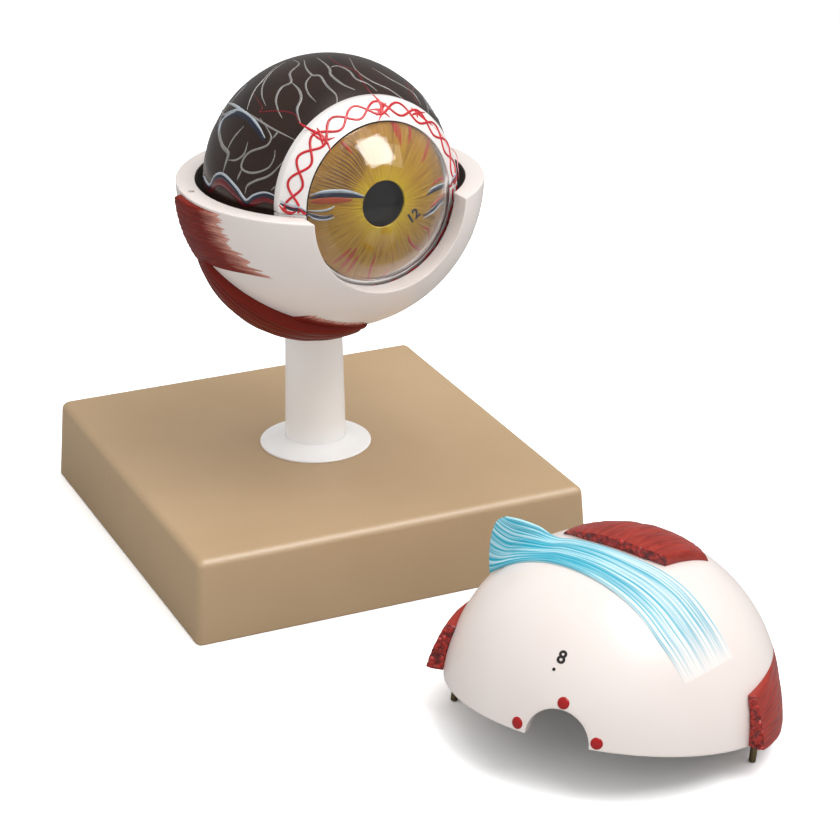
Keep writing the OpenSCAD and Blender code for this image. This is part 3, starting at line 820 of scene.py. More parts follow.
def make_lower_muscles():
    skin = fibre_paint("muscle_skin", MUSCLE_RED, MUSCLE_DARK, MUSCLE_END, 0.0, 0.66, 24.0, lit=0.12,
                       lasting=0.9)
    deep = fibre_paint("oblique_skin", MUSCLE_DEEP, MUSCLE_DARK, MUSCLE_RED, 0.05, 0.97, 9.0, frayed=0.6,
                       length=1.2, darkness=0.85)
    cut = cut_paint("muscle_cut", MUSCLE_RED, MUSCLE_DARK)
    first = (Vector((1, 0, 0)) - OBLIQUE_AXIS * OBLIQUE_AXIS.x).normalized()
    second = OBLIQUE_AXIS.cross(first)

    def lateral(u, v):
        end = 1 - LATERAL_SLANT * math.sin(math.pi * min(v / 0.9, 1))
        return through(LATERAL_HIGH, u * end).lerp(through(LATERAL_LOW, u * end), v)

    def lateral_rise(direction):
        return side_hump(direction, LATERAL_PUSH)

    def oblique(u, v):
        turn = math.radians(OBLIQUE_FROM - OBLIQUE_TURN * u)
        level = OBLIQUE_HIGH + (OBLIQUE_LOW - OBLIQUE_HIGH) * v
        level -= OBLIQUE_HOOK * (1 - v) * max(0, (u - 0.8) / 0.2) ** 2
        across = first * math.cos(turn) + second * math.sin(turn)
        return OBLIQUE_AXIS * level + across * math.sqrt(1 - level * level)

    for side, lay, seed in [("lateral", lateral, 3), ("medial", nose_side(lateral, 0.06), 8)]:
        muscle(f"{side}_muscle", "stand", f"{side}_rectus_lower", lay, lateral_rise, skin, cut, seed,
               frayed=0.2, strands=11, relief=0.22)
    muscle("oblique_muscle", "stand", "inferior_oblique", oblique, lambda d: hump(d, OBLIQUE_PUSH, OBLIQUE_R),
           deep, cut, 5, along=140, strands=4.5, relief=0.8, frayed=0.04, tip=0.1)
    muscle("inferior_muscle", "stand", "inferior_rectus",
           lambda u, v: through(INFERIOR_NEAR, v).lerp(through(INFERIOR_FAR, v), u), lambda d: INFERIOR_T,
           skin, cut, 12, along=40, frayed=0.4, strands=7, relief=0.2, knobs=0.1, tip=0.6)


make_lower_muscles()


# ---------------------------------------------------------------- muscles on the upper half
# The same kind of cast muscles, cut off short behind the eye's middle, where the cut faces
# show knobbly ends of fibre bundles.
SIDE_PUSH = Vector((4.8, -6, -8))
SIDE_HIGH = [(64.5, -24, 21.8), (66, -2, 27), (61, 22, 30)]
SIDE_LOW = [(68, -24, 0.45), (72, 0, 0.45), (67, 24, 0.45)]
SIDE_FULL = 0.86
SIDE_TAPER = 1.3
TOP_R = 60
TOP_PUSH = Vector((0.15, -0.33, 0.93)) * 17
TOP_NEAR = [(-28.8, -4.5, 65.9), (-16, -14.5, 68.8), (-3, -19, 69.4), (10, -20.6, 68.2), (21, -18.8, 66.2)]
TOP_FAR = [(-29, -1, 65.9), (-14, 16, 68.8), (6, 23.5, 67.8), (22, 20, 65.5), (31.8, 9, 64)]


def make_upper_muscles():
    # These muscles and their cut faces are painted lighter than those on the lower half: painted light where
    # the lamps fall on them.
    skin = fibre_paint("upper_muscle_skin_lit", paint(158, 52, 42), paint(104, 22, 16), MUSCLE_PALE, 0.15, 0.85,
                       20.0, frayed=0.5)
    cut = cut_paint("upper_muscle_cut_lit", paint(190, 42, 30), paint(104, 14, 9))

    def lateral(u, v):
        return through(SIDE_HIGH, u).lerp(through(SIDE_LOW, u), v)

    def side_rise(direction):
        return side_hump(direction, SIDE_PUSH) * (SIDE_FULL - SIDE_TAPER * direction.y)

    for side, lay, seed in [("lateral", lateral, 21), ("medial", nose_side(lateral, 0.04), 23)]:
        muscle(f"upper_{side}_muscle", "cap", f"{side}_rectus_upper", lay, side_rise, skin, cut, seed,
               frayed=0.1, strands=7, relief=0.3, knobs=0.9, rim=0.04, rows=9)
    muscle("upper_top_muscle", "cap", "superior_rectus",
           lambda u, v: through(TOP_NEAR, v).lerp(through(TOP_FAR, v), u), lambda d: hump(d, TOP_PUSH, TOP_R),
           skin, cut, 27, across=90, strands=6, relief=0.35, knobs=0.8, rim=0.06, rows=9)


make_upper_muscles()


# ---------------------------------------------------------------- tendon
# The slanting muscle's tendon: a broad thin band in pale plastic that lies over the shell
# and stands free of it at one end. It is painted in streaks of cyan that fade out.
TENDON_PUSH = Vector((-0.3, -0.4, 1)) * 1.9
TENDON_UPPER = [(-51.5, -15, 71.2), (-45, -15, 71.2), (-38, -13.5, 69.8), (-30, -13.5, 67.9),
                (-20.8, -15, 67.6), (-13, -18, 68.4), (-1.2, -21.3, 68.7), (9.9, -22.7, 67.6),
                (20.7, -22.4, 65.2), (32.1, -22.8, 60.3), (42, -24.4, 53.1), (49.6, -25.3, 45.7),
                (56.2, -25.8, 36.9)]
TENDON_LOWER = [(-55.7, -15, 44.8), (-50.5, -17.5, 48.8), (-45.7, -19.9, 51.9), (-35.5, -25.9, 57),
                (-24.3, -31.2, 60.2), (-12, -36.2, 61.1), (0.1, -40.3, 59.7), (11.1, -43.5, 56.3),
                (21, -46.3, 51), (29.9, -48.6, 43.9), (37, -49, 37), (43.7, -49, 29)]
TENDON_END = [(-51.5, -15, 71.2), (-55.2, -15, 68.6), (-56.9, -15, 63), (-57, -15, 54), (-55.7, -15, 44.8)]
TENDON_FREE = (-37, -23)
TENDON_FREE_T = 0.9
TENDON_FLATTER = 0.5
TENDON_RIM = 0.045
TENDON_THINS = 0.55
TENDON_WAVES = 9
TENDON_CYAN = paint(46, 164, 188)
TENDON_PALE = paint(184, 222, 231)


def make_tendon():
    along, across = 150, 60
    width = across + 1
    low, high = TENDON_FREE
    root = Vector(TENDON_UPPER[0]), Vector(TENDON_LOWER[0])
    middles = []
    for i in range(along + 1):
        for j in range(width):
            u, v = i / along, j / across
            spot = through(TENDON_UPPER, u).lerp(through(TENDON_LOWER, u), v)
            spot += (through(TENDON_END, v) - root[0].lerp(root[1], v)) * max(0, 1 - u / 0.1) ** 2
            share = min(max((spot.x - low) / (high - low), 0), 1)
            share = share * share * (3 - 2 * share)
            middles.append((spot.lerp(spot.normalized() * SCLERA_R, share), share, u, v))
    outer, inner, uvs = [], [], []
    for k, (spot, share, u, v) in enumerate(middles):
        i, j = divmod(k, width)
        ahead = middles[min(i + 1, along) * width + j][0] - middles[max(i - 1, 0) * width + j][0]
        aside = middles[i * width + min(j + 1, across)][0] - middles[i * width + max(j - 1, 0)][0]
        up = ahead.cross(aside).normalized()
        if up.dot(spot) < 0:
            up.negate()
        up = up.lerp(spot.normalized(), share).normalized()
        side = min(v, 1 - v) / TENDON_RIM
        soft = 1 if side > 1 else math.sqrt(max(1 - (1 - side) ** 2, 0.02))
        end = soft * max(min(1, u / 0.02) ** 0.5, 0.3)
        gone = (u - TENDON_THINS) / (1 - TENDON_THINS)
        fade = 1 if gone < 0 else max(0.06, (1 - gone) ** 1.3)
        wobble = 0.7 * noise.noise(Vector((u * 3, v * 4, 3)))
        wave = abs(math.sin(math.pi * (TENDON_WAVES * v + wobble))) - 0.5
        thick = TENDON_FLATTER * hump(spot.normalized(), TENDON_PUSH, SCLERA_R) * fade * soft
        thick += 0.22 * wave * soft * min(fade + 0.2, 1)
        free = TENDON_FREE_T * end + 0.15 * wave * end
        outer.append(spot + up * (free + (max(thick, THIN_SKIN) + UNDER_SKIN - free) * share))
        inner.append(spot + up * (-TENDON_FREE_T * end * (1 - share) + UNDER_SKIN * share))
        uvs.append((u, v))
    cyan = fibre_paint("tendon_cyan", TENDON_PALE, TENDON_CYAN, SHELL_WHITE, 0.1, 0.45, 19.0, length=1.3,
                       darkness=2.2, depth=0.0001, lasting=1.3, roughness=0.4)
    made = make_piece("tendon", in_cap, outer + inner, slab(along + 1, width), cyan, crease=60)
    lay_uvs(made, "fibres", uvs * 2)
    hold(outward(made), "cap", "tendon", "superior_oblique")


make_tendon()


# ---------------------------------------------------------------- marks on the upper half
# Three dark red dots of enamel by the nerve's notch stand for cut vortex veins. A small
# printed number, with a dot that tells it from its reverse, keys the piece to a leaflet.
DOTS = [(-17.6, -69.7, 3.4), (0.7, -70.1, 16.6), (16.7, -70, 3.2)]
DOT_R = 2.6
DOT_RISE = 0.7
DOT_FOOT = 0.1
ENAMEL_RED = paint(176, 4, 8)
INK = paint(18, 16, 16)
INK_WORN = paint(48, 44, 42)
NUMBER_AT = Vector((-4.4, -63.8, 33))
NUMBER_LINE = Vector((0.99, 0, -0.13))
NUMBER_H = 5.6
NUMBER_DOT_AT = NUMBER_AT + Vector((-1.6, 0, -3.6))
NUMBER_DOT_H = 6
NUMBER_RISE = 0.06
NUMBER_BOLD = 0.036
NUMBER_EM = 1.35


def enamel(name, colour, deep, roughness, gloss):
    """Glossy enamel that pools a little darker where it is thick."""
    material, tree, surface = new_material(name)
    pool = speckle(tree, 260.0, 3.0)
    fill(surface, Base_Color=blend(tree, pool, colour, deep), Normal=bumped(tree, pool, 0.0001, 0.4),
         Roughness=roughness, Coat_Weight=gloss, Coat_Roughness=0.05)
    return material


def make_dots():
    rings = 7
    profile = [(0, SCLERA_R + DOT_RISE)]
    for k in range(1, rings + 1):
        lean = k / rings * math.pi / 2
        reach = SCLERA_R - DOT_FOOT + (DOT_RISE + DOT_FOOT) * math.cos(lean)
        turn = math.atan(DOT_R * math.sin(lean) / SCLERA_R)
        profile.append((reach * math.sin(turn), reach * math.cos(turn)))
    profile.append((0, SCLERA_R - 0.3))
    dots = []
    for centre in DOTS:
        up = Vector(centre).normalized()
        aside = Vector((0, 0, 1)).cross(up).normalized()
        upright = Matrix((aside, up.cross(aside), up)).transposed().to_4x4()
        dots.append(turned(profile, 28, False, upright))
    red = enamel("enamel_red", ENAMEL_RED, paint(150, 6, 10), 0.3, 0.2)
    made = make_piece("nerve_dots", in_cap, *together(dots), red, crease=80)
    hold(outward(weld(made)), "cap", "vessel")


def printed_number(name, text, place, body, centre, baseline, height, surface):
    """Printed figures wrapped on a surface: centre and baseline are in the frame of place."""
    curve = bpy.data.curves.new(name, "FONT")
    curve.body = text
    curve.size = height * NUMBER_EM
    curve.align_x = "CENTER"
    curve.align_y = "CENTER"
    curve.resolution_u = 6
    curve.extrude = NUMBER_RISE
    curve.offset = height * NUMBER_BOLD
    drawn = piece_object(name, curve)
    mesh = bpy.data.meshes.new_from_object(drawn.evaluated_get(bpy.context.evaluated_depsgraph_get()))
    bpy.data.objects.remove(drawn)
    foot, up = surface(centre)
    right = (baseline - up * baseline.dot(up)).normalized()
    over = up.cross(right)
    for vertex in mesh.vertices:
        spot, out = surface(foot + right * vertex.co.x + over * vertex.co.y)
        vertex.co = (place @ (spot + out * (vertex.co.z + NUMBER_RISE * 0.9))) / 1000
    ink, tree, paper = new_material(name + "_ink")
    fill(paper, Base_Color=blend(tree, speckle(tree, 900.0, 3.0), INK, INK_WORN), Roughness=0.5)
    mesh.materials.clear()
    mesh.materials.append(ink)
    mesh.validate()
    hold(piece_object(name, mesh), body, "vessel")


def on_sphere(radius):
    """The foot and the outward direction of a point, on a sphere about the origin."""
    return lambda spot: (spot.normalized() * radius, spot.normalized())


def make_number():
    for name, text, middle, height in [("shell_number", "8", NUMBER_AT, NUMBER_H),
                                       ("shell_number_dot", ".", NUMBER_DOT_AT, NUMBER_DOT_H)]:
        printed_number(name, text, in_cap, "cap", middle, NUMBER_LINE, height, on_sphere(SCLERA_R))


make_dots()
make_number()


# ---------------------------------------------------------------- dark ball
# The choroid: a glossy dark brown ball in two halves, with painted relief vessels. Grey
# veins branch over it towards the front, and run together in whorls at the sides. A wavy
# artery follows the seam on each side.
BALL_OFF = Vector((1, 0, -1.4))
BALL_TURN = Euler((math.radians(2.4), 0, math.radians(2)))
CHOROID_R = 58
CHOROID_IN = 54
BORE_R = 37.3
SEAM = 0.2
STROKE_FULL = 1.15
STROKE_STEPS = 7
STROKE_TAPER = 0.3
WHORL_SIDE = 0.62
VEIN_BRANCHES = 7
VEIN_STEP = 5.5
VEIN_LOWEST = 2.2
VEIN_REAR = -57
VEIN_FRONT = 18
TWIG_STEP = 5
TWIG_FRONT = 20
CHOROID_BROWN = paint(50, 29, 19)
CHOROID_DARK = paint(22, 12, 8)

in_ball = in_eye @ Matrix.Translation(BALL_OFF) @ BALL_TURN.to_matrix().to_4x4()
vein_grey = enamel("vein_grey", paint(150, 147, 143), paint(104, 100, 98), 0.35, 0.2)
artery_white = enamel("artery_white", paint(178, 186, 192), paint(150, 158, 168), 0.35, 0.2)
artery_navy = enamel("artery_navy", paint(26, 32, 54), paint(20, 26, 48), 0.3, 0.3)
artery_wine = enamel("artery_wine", paint(128, 16, 26), paint(58, 8, 14), 0.3, 0.3)
vessel_red = enamel("vessel_red", paint(224, 30, 42), paint(160, 20, 30), 0.3, 0.3)

# Vessels on the ball that the picture shows, by points of the picture
GREY_VEINS = [
    ([(293, 60), (299, 64), (290, 73), (291, 82), (281, 88), (276, 99), (278, 110), (282, 118)], 1.1),
    ([(291, 82), (299, 90), (301, 99), (297, 110), (301, 125)], 1.2),
    ([(304, 60), (306, 68), (312, 75), (320, 76), (327, 86), (336, 95), (337, 105)], 1.1),
    ([(312, 75), (306, 83), (308, 93), (316, 102)], 0.9),
    ([(317, 58), (329, 68), (331, 75), (342, 84), (355, 90)], 1.2),
    ([(331, 67), (338, 66), (349, 71), (356, 79), (368, 84), (377, 91)], 1.0),
    ([(349, 58), (356, 70), (371, 81), (390, 90), (405, 101), (415, 110)], 0.8),
    ([(372, 68), (390, 79), (406, 88), (414, 94), (421, 105)], 0.8),
    ([(285, 62), (270, 74), (263, 85), (262, 96), (266, 106)], 0.8),
    ([(277, 66), (264, 79), (256, 88), (250, 100), (247, 110)], 0.8),
    ([(228, 104), (243, 111), (255, 118), (273, 129), (297, 141)], 1.0),
    ([(228, 104), (221, 117), (219, 129), (222, 145), (228, 153), (226, 162), (223, 173)], 1.9),
    ([(244, 126), (233, 139), (227, 151)], 0.9),
    ([(228, 160), (236, 160), (244, 154), (248, 142)], 0.9),
    ([(260, 118), (268, 130), (271, 138), (266, 146), (250, 152), (243, 160), (242, 169), (253, 173),
      (268, 168), (274, 158), (275, 150)], 1.0),
    ([(242, 169), (237, 180)], 0.9),
    ([(285, 160), (270, 175), (255, 181), (247, 186), (245, 194)], 1.0),
    ([(281, 183), (271, 190)], 0.8),
    ([(279, 131), (272, 139)], 0.8),
]
WHORL_WHITE = [([(222, 116), (230, 112), (239, 110), (250, 116), (259, 127), (265, 138)], 1.3),
               ([(225, 102), (234, 105), (243, 111), (248, 115)], 1.3),
               ([(240, 111), (230, 114), (222, 121), (219, 133), (222, 146)], 1.4)]
WHORL_NAVY = [([(224, 119), (231, 115), (239, 113), (248, 118), (256, 128), (264, 141)], 2.6)]
RED_LINES = [
    ([(326, 54), (332, 60), (342, 66), (356, 71), (364, 84), (372, 94), (381, 101)], 0.8),
    ([(254, 94), (262, 107), (260, 112), (277, 111), (294, 114), (300, 124), (308, 131)], 0.7),
    ([(406, 82), (410, 95)], 0.8),
]
ARTERY_LINE = [(210, 185), (215, 176), (221, 173.5), (227, 177), (236, 187), (243, 197), (247, 200),
               (254, 195), (264, 192.5), (273, 195), (282, 201)]
# The artery's part that the picture doesn't show, by (place along the gaze, height)
ARTERY_BEHIND = [(-50, 4), (-43, 2.4), (-35, 5.5), (-26, 3), (-19, 4.6)]


def stroke(points, width, rise, surface):
    """A raised painted line with a low round section, along points on a surface."""
    count = (len(points) - 1) * STROKE_STEPS
    feet = [surface(through(points, k / count)) for k in range(count + 1)]
    flank = [(0.5, -0.12), (0.42, 0.45 * rise), (0.2, 0.9 * rise)]
    section = [(-across, high) for across, high in flank] + [(0, rise)] + flank[::-1]
    spots = []
    for k, (foot, up) in enumerate(feet):
        ahead = feet[min(k + 1, count)][0] - feet[max(k - 1, 0)][0]
        aside = up.cross(ahead).normalized()
        end = min(k, count - k) / max(count * 0.3, 1)
        size = STROKE_TAPER + (1 - STROKE_TAPER) * min(end, 1)
        spots += [foot + aside * (across * width * size) + up * (high * (size if high > 0 else 1))
                  for across, high in section]
    rows = numbered(count + 1, len(section))
    return spots, quads(rows, closed=True) + [tuple(rows[0]), tuple(rows[-1])]


def strokes_piece(name, strokes, surface, material, body, rise=0.3, slot="vessel"):
    """One piece of all the strokes, given as (points in the ball's frame, width)."""
    lines = [stroke(points, width * STROKE_FULL, rise, surface) for points, width in strokes]
    hold(outward(make_piece(name, in_ball, *together(lines), material, crease=50)), body, slot)


def sight_line(pixel, place):
    """The camera's place and the direction through a point of the picture, in the frame of place."""
    middle = IMAGE_PX / 2
    sight = Vector(((pixel[0] - middle) / FOCAL_PX, (middle - pixel[1]) / FOCAL_PX, -1))
    back = place.inverted()
    return back @ CAMERA_MM, (back.to_3x3() @ (camera_turned.to_matrix() @ sight)).normalized()


def spot_on_ball(pixel, place, radius):
    """Where the line of sight through a point of the picture meets a sphere about place's origin."""
    eye, sight = sight_line(pixel, place)
    half = eye.dot(sight)
    reach = half * half - eye.dot(eye) + radius * radius
    return eye + sight * (-half - math.sqrt(max(reach, 0)))


def drawn_on(strokes, radius):
    """Strokes given by points of the picture, as points on the ball."""
    return [([spot_on_ball(pixel, in_ball, radius) for pixel in line], width) for line, width in strokes]


def mirrored(strokes, least=0):
    """The other side's copy of the strokes that lie more than least to the side."""
    return [([Vector((-p.x, p.y, p.z)) for p in line], width) for line, width in strokes
            if min(p.x for p in line) > least]


def underside(strokes):
    """The lower half's copy of the strokes."""
    return [([Vector((p.x, p.y, -p.z)) for p in line], width) for line, width in strokes]


def by_seam(line, shift, width):
    """A line lowered by shift but kept clear of the seam, and its copy on the other side."""
    low = [([Vector((p.x, p.y, max(p.z - shift, 0.6 + width / 2))) for p in line], width)]
    return low + mirrored(low)


def ball_halves(name, node, outer, inner, material, edge):
    """Both halves of one layer of the ball."""
    for half, body, lift in [("upper", "choroid_top", SEAM), ("lower", "eyeball", 0)]:
        made = half_shell(f"{half}_{name}", in_ball, outer, inner, material, half == "upper", lift, edge=edge)
        hold(made, body, node, f"{node}_{half}")


def grown_veins(seed, high):
    """Veins that run out of a whorl on each side, behind the ball's middle, and fork."""
    chance = random.Random(seed)
    lines = []

    def onwards(spot, heading, curl, length):
        heading = (heading + spot.normalized().cross(heading) * curl).normalized()
        return (spot + heading * length).normalized() * CHOROID_R, heading

    for side in (1, -1):
        start = Vector((side * WHORL_SIDE, -WHORL_SIDE, high)).normalized() * CHOROID_R
        for k in range(VEIN_BRANCHES):
            turn = 2 * math.pi * (k + 0.5 * chance.random()) / VEIN_BRANCHES
            aside = Vector((0, 0, 1)).cross(start).normalized()
            heading = aside * math.cos(turn) + start.normalized().cross(aside) * math.sin(turn)
            spot, line, curl = start, [start], 0.3 * (chance.random() - 0.5)
            for _ in range(7 + int(4 * chance.random())):
                curl += 0.5 * (chance.random() - 0.5)
                spot, heading = onwards(spot, heading, curl, VEIN_STEP)
                if spot.z <= VEIN_LOWEST or not VEIN_REAR <= spot.y <= VEIN_FRONT:
                    break
                line.append(spot)
            if len(line) <= 3:
                continue
            lines.append((line, 1.0))
            fork = line[len(line) // 2]
            twig = [fork]
            heading = (heading + fork.normalized().cross(heading) * 0.9).normalized()
            for _ in range(4):
                fork, heading = onwards(fork, heading, 0.2, TWIG_STEP)
                if fork.z > VEIN_LOWEST and fork.y < TWIG_FRONT:
                    twig.append(fork)
            if len(twig) > 2:
                lines.append((twig, 0.7))
    return lines


def make_ball():
    brown = moulded_plastic("choroid_brown", CHOROID_BROWN, CHOROID_DARK, roughness=0.28, gloss=0.1,
                            grain=600.0, depth=0.00006, drift=26.0, scuffs=0.2)
    ball_halves("ball", "choroid", sphere_profile(CHOROID_R, BORE_R, 0, 64),
                sphere_profile(CHOROID_IN, BORE_R, 0, 64), brown, 0.25)
    surface = on_sphere(CHOROID_R)
    drawn = drawn_on(GREY_VEINS, CHOROID_R)
    far = mirrored(drawn, least=25)
    strokes_piece("upper_veins", drawn + far + grown_veins(4, 0.45), surface, vein_grey, "choroid_top")
    low = [(line, width) for line, width in far + [vein for vein in drawn if vein[0][0].x > 25]
           if min(p.z for p in line) > 4]
    strokes_piece("lower_veins", underside(low + grown_veins(9, 0.5)), surface, vein_grey, "eyeball")
    for name, strokes, least, finish, rise in [("whorl_navy", WHORL_NAVY, 0, artery_navy, 0.3),
                                               ("whorl_white", WHORL_WHITE, 0, artery_white, 0.42),
                                               ("ball_red_lines", RED_LINES, 5, artery_wine, 0.2)]:
        drawn = drawn_on(strokes, CHOROID_R)
        strokes_piece(name, drawn + mirrored(drawn, least), surface, finish, "choroid_top", rise)
    line = [Vector((math.sqrt(CHOROID_R ** 2 - y * y - z * z), y, z)) for y, z in ARTERY_BEHIND]
    line += [spot_on_ball(pixel, in_ball, CHOROID_R) for pixel in ARTERY_LINE]
    for name, shift, width, finish, rise in [("artery_wine", 3.4, 3.8, artery_wine, 0.25),
                                             ("artery_navy", 1.3, 2.2, artery_navy, 0.4),
                                             ("artery_white", 0, 1.3, artery_white, 0.5)]:
        strokes_piece(name, by_seam(line, shift, width), surface, finish, "choroid_top", rise)


make_ball()


# ---------------------------------------------------------------- ciliary ring
# A white raised ring round the front of the ball, in one with each of its halves. A red
# chain of vessels is painted round it, with knots where arteries from the ball join in.
RING_R = 60.9
RING_EDGE_R = 46.7
CHAIN_LINKS = 24
CHAIN_MID_R = 42.2
CHAIN_SWING = 2.45
CHAIN_LINE = 1.35
CHAIN_START = math.radians(11.6)
CHAIN_SPARE = math.radians(1.5)
RING_WHITE = paint(238, 234, 231)
# Painted vessels on the ring, by points of the picture
RING_KNOTS = [
    ([(299, 122.5), (310.6, 129.8), (320.8, 135), (327, 142), (330.5, 151)], 1.3),
    ([(310.6, 132.8), (323, 140), (335, 137.5)], 1.1),
    ([(317, 127.8), (321, 136), (323, 146)], 1.4),
    ([(372.9, 94.5), (378, 100), (381, 105), (382, 112), (378.5, 121)], 1.4),
    ([(369.8, 109.4), (381, 110.4), (390.2, 117.6)], 1.2),
    ([(386, 103), (381, 109), (376.5, 116)], 1.3),
    ([(410.6, 107.3), (417.8, 113.5), (425, 119.6), (433, 126)], 1.2),
    ([(415.5, 109), (417.5, 118)], 1.3),
    ([(410, 115.5), (418, 113), (425, 112.5)], 1.1),
]
# The ring's red vessels on its right side are painted pale pink: a painted highlight that washes out their
# red.
RING_HIGHLIGHT_PINKS = [
    ([(434, 127), (442, 136), (448, 147), (452, 158)], 1.0),
    ([(451.4, 148.2), (457, 157), (457.6, 166), (460, 179)], 1.0),
]
RING_SQUIGGLES = [
    ([(279, 205), (284, 210.5), (290, 213.5), (296, 212)], 1.4),
    ([(284, 212), (288, 206), (294, 208), (299, 211)], 1.2),
    ([(293, 213), (299, 209), (304, 213), (307, 218)], 1.4),
]
RING_ARTERY = [(280, 200.5), (286.5, 204), (292.6, 206.1), (300.2, 207.4), (306.6, 211.5)]


def grown(name, group, place, **values):
    """The plain mesh piece that a geometry node group makes from the values, set out by place."""
    made = piece_object(name, bpy.data.meshes.new(name))
    modifier = made.modifiers.new("grow", "NODES")
    modifier.node_group = group
    sockets = {item.name: item.identifier for item in group.interface.items_tree if item.in_out == "INPUT"}
    for label, value in values.items():
        modifier[sockets[label]] = value
    bake_modifiers(made)
    made.data.transform(Matrix.Scale(0.001, 4) @ place)
    made.data.polygons.foreach_set("use_smooth", [True] * len(made.data.polygons))
    return made


def painted(group, shape, given, out):
    """Ends a geometry node group: its instances are made real and take its paint."""
    whole = add_node(group, "GeometryNodeRealizeInstances", Geometry=shape).outputs[0]
    whole = add_node(group, "GeometryNodeSetMaterial", Geometry=whole, Material=given["Paint"]).outputs[0]
    group.links.new(whole, out.inputs[0])
    return group


def chain_group():
    """Two painted lines that swing about the ring's middle and cross at every link's end."""
    group, given, out = new_group("vessel_chain", [
        ("Geometry", "Geometry", None), ("Ball", "Float", 60.0), ("Middle", "Float", 42.0),
        ("Swing", "Float", 2.0), ("Line", "Float", 1.0), ("Links", "Float", 24.0), ("Start", "Float", 0.0),
        ("From", "Float", 0.0), ("To", "Float", math.pi), ("Paint", "Material", None),
    ], [("Geometry", "Geometry")], "GeometryNodeTree")
    both = group.nodes.new("GeometryNodeJoinGeometry")
    for side in (1, -1):
        line = add_node(group, "GeometryNodeCurvePrimitiveLine", End=(1, 0, 0)).outputs[0]
        fine = add_node(group, "GeometryNodeResampleCurve", Curve=line, Count=520).outputs[0]
        along = add_node(group, "GeometryNodeSplineParameter").outputs["Factor"]
        turn = spread(group, along, 0.0, 1.0, given["From"], given["To"], clamp=False)
        phase = maths(group, "SUBTRACT", turn, given["Start"])
        phase = maths(group, "MULTIPLY", phase, maths(group, "DIVIDE", given["Links"], 2.0))
        swing = maths(group, "MULTIPLY", given["Swing"], side)
        radius = maths(group, "MULTIPLY_ADD", maths(group, "SINE", phase), swing, given["Middle"])
        high = maths(group, "SUBTRACT", maths(group, "POWER", given["Ball"], 2.0),
                     maths(group, "POWER", radius, 2.0))
        spot = add_node(group, "ShaderNodeCombineXYZ", Y=maths(group, "SQRT", high),
                        X=maths(group, "MULTIPLY", radius, maths(group, "COSINE", turn)),
                        Z=maths(group, "MULTIPLY", radius, maths(group, "SINE", turn))).outputs[0]
        laid = add_node(group, "GeometryNodeSetPosition", Geometry=fine, Position=spot).outputs[0]
        rim = add_node(group, "GeometryNodeCurvePrimitiveCircle", Resolution=8,
                       Radius=maths(group, "DIVIDE", given["Line"], 2.0)).outputs[0]
        tube = add_node(group, "GeometryNodeCurveToMesh", Curve=laid, Profile_Curve=rim, Fill_Caps=True)
        group.links.new(tube.outputs[0], both.inputs[0])
    return painted(group, both.outputs[0], given, out)


def make_ring():
    plastic = moulded_plastic("ring_white", RING_WHITE, paint(228, 222, 218), roughness=0.28, gloss=0.4,
                              grain=500.0, depth=0.00004, drift=40.0, scuffs=0.15)
    outer = arc(RING_R, math.asin(BORE_R / RING_R), math.asin(RING_EDGE_R / RING_R), 10)
    inner = [(r, math.sqrt(CHOROID_R ** 2 - r * r) + 0.02) for r, _ in outer]
    ball_halves("ring", "ciliary_ring", outer, inner, plastic, 0.4)
    chain = chain_group()
    for name, body, start in [("upper_chain", "choroid_top", 0), ("lower_chain", "eyeball", math.pi)]:
        made = grown(name, chain, in_ball, Ball=RING_R - 0.18, Middle=CHAIN_MID_R, Swing=CHAIN_SWING,
                     Line=CHAIN_LINE, Links=float(CHAIN_LINKS), Start=CHAIN_START, From=start + CHAIN_SPARE,
                     To=start + math.pi - CHAIN_SPARE, Paint=vessel_red)
        hold(outward(made), body, "vessel")
    surface = on_sphere(RING_R)
    # Pale pink paint on the right side's vessels is a painted highlight on their red.
    highlight_pink = enamel("vessel_highlight_pink", paint(232, 128, 136), paint(240, 160, 164), 0.35, 0.2)
    low = [([Vector((p.x, p.y, max(p.z, 0.9))) for p in line], width)
           for line, width in drawn_on(RING_SQUIGGLES, RING_R)]
    line = [spot_on_ball(pixel, in_ball, RING_R) for pixel in RING_ARTERY]
    for name, strokes, finish, rise in [
            ("ring_knots", drawn_on(RING_KNOTS, RING_R), vessel_red, 0.4),
            ("ring_highlight_pinks", drawn_on(RING_HIGHLIGHT_PINKS, RING_R), highlight_pink, 0.25),
            ("ring_squiggles", low + mirrored(low), vessel_red, 0.4),
            ("ring_artery_navy", by_seam(line, 1.3, 1.7), artery_navy, 0.5),
            ("ring_artery_white", by_seam(line, 0, 1.1), artery_white, 0.6)]:
        strokes_piece(name, strokes, surface, finish, "choroid_top", rise)


make_ring()


# ---------------------------------------------------------------- iris
# A thin domed disc with a round pupil, painted gold in radial fibres. Larger vessels run in
# from its edge, and a small printed number keys it to a leaflet.
IRIS_R = 36.9
IRIS_FLAT_R = 35.25
IRIS_PLANE = 46.74
IRIS_RISE = 5.2
IRIS_T = 1.4
PUPIL_R = 10.7
IRIS_BULGE = 1.92
PUPIL_EDGE = 0.35
GOLD_BRIGHT = paint(192, 160, 36)
GOLD_MID = paint(176, 136, 40)
GOLD_EDGE = paint(156, 110, 48)
GOLD_DARK = paint(104, 64, 22)
GOLD_BROWN = paint(150, 96, 40)
GOLD_LIGHT = paint(200, 168, 98)
# A dark band at the iris's outer edge, where the ring meets it, is painted shade.
GOLD_RIM_SHADE = paint(70, 42, 24)
IRIS_NUMBER_PX = (413, 216)
IRIS_BASELINE_PX = (418, 211)
IRIS_NUMBER_H = 5.2
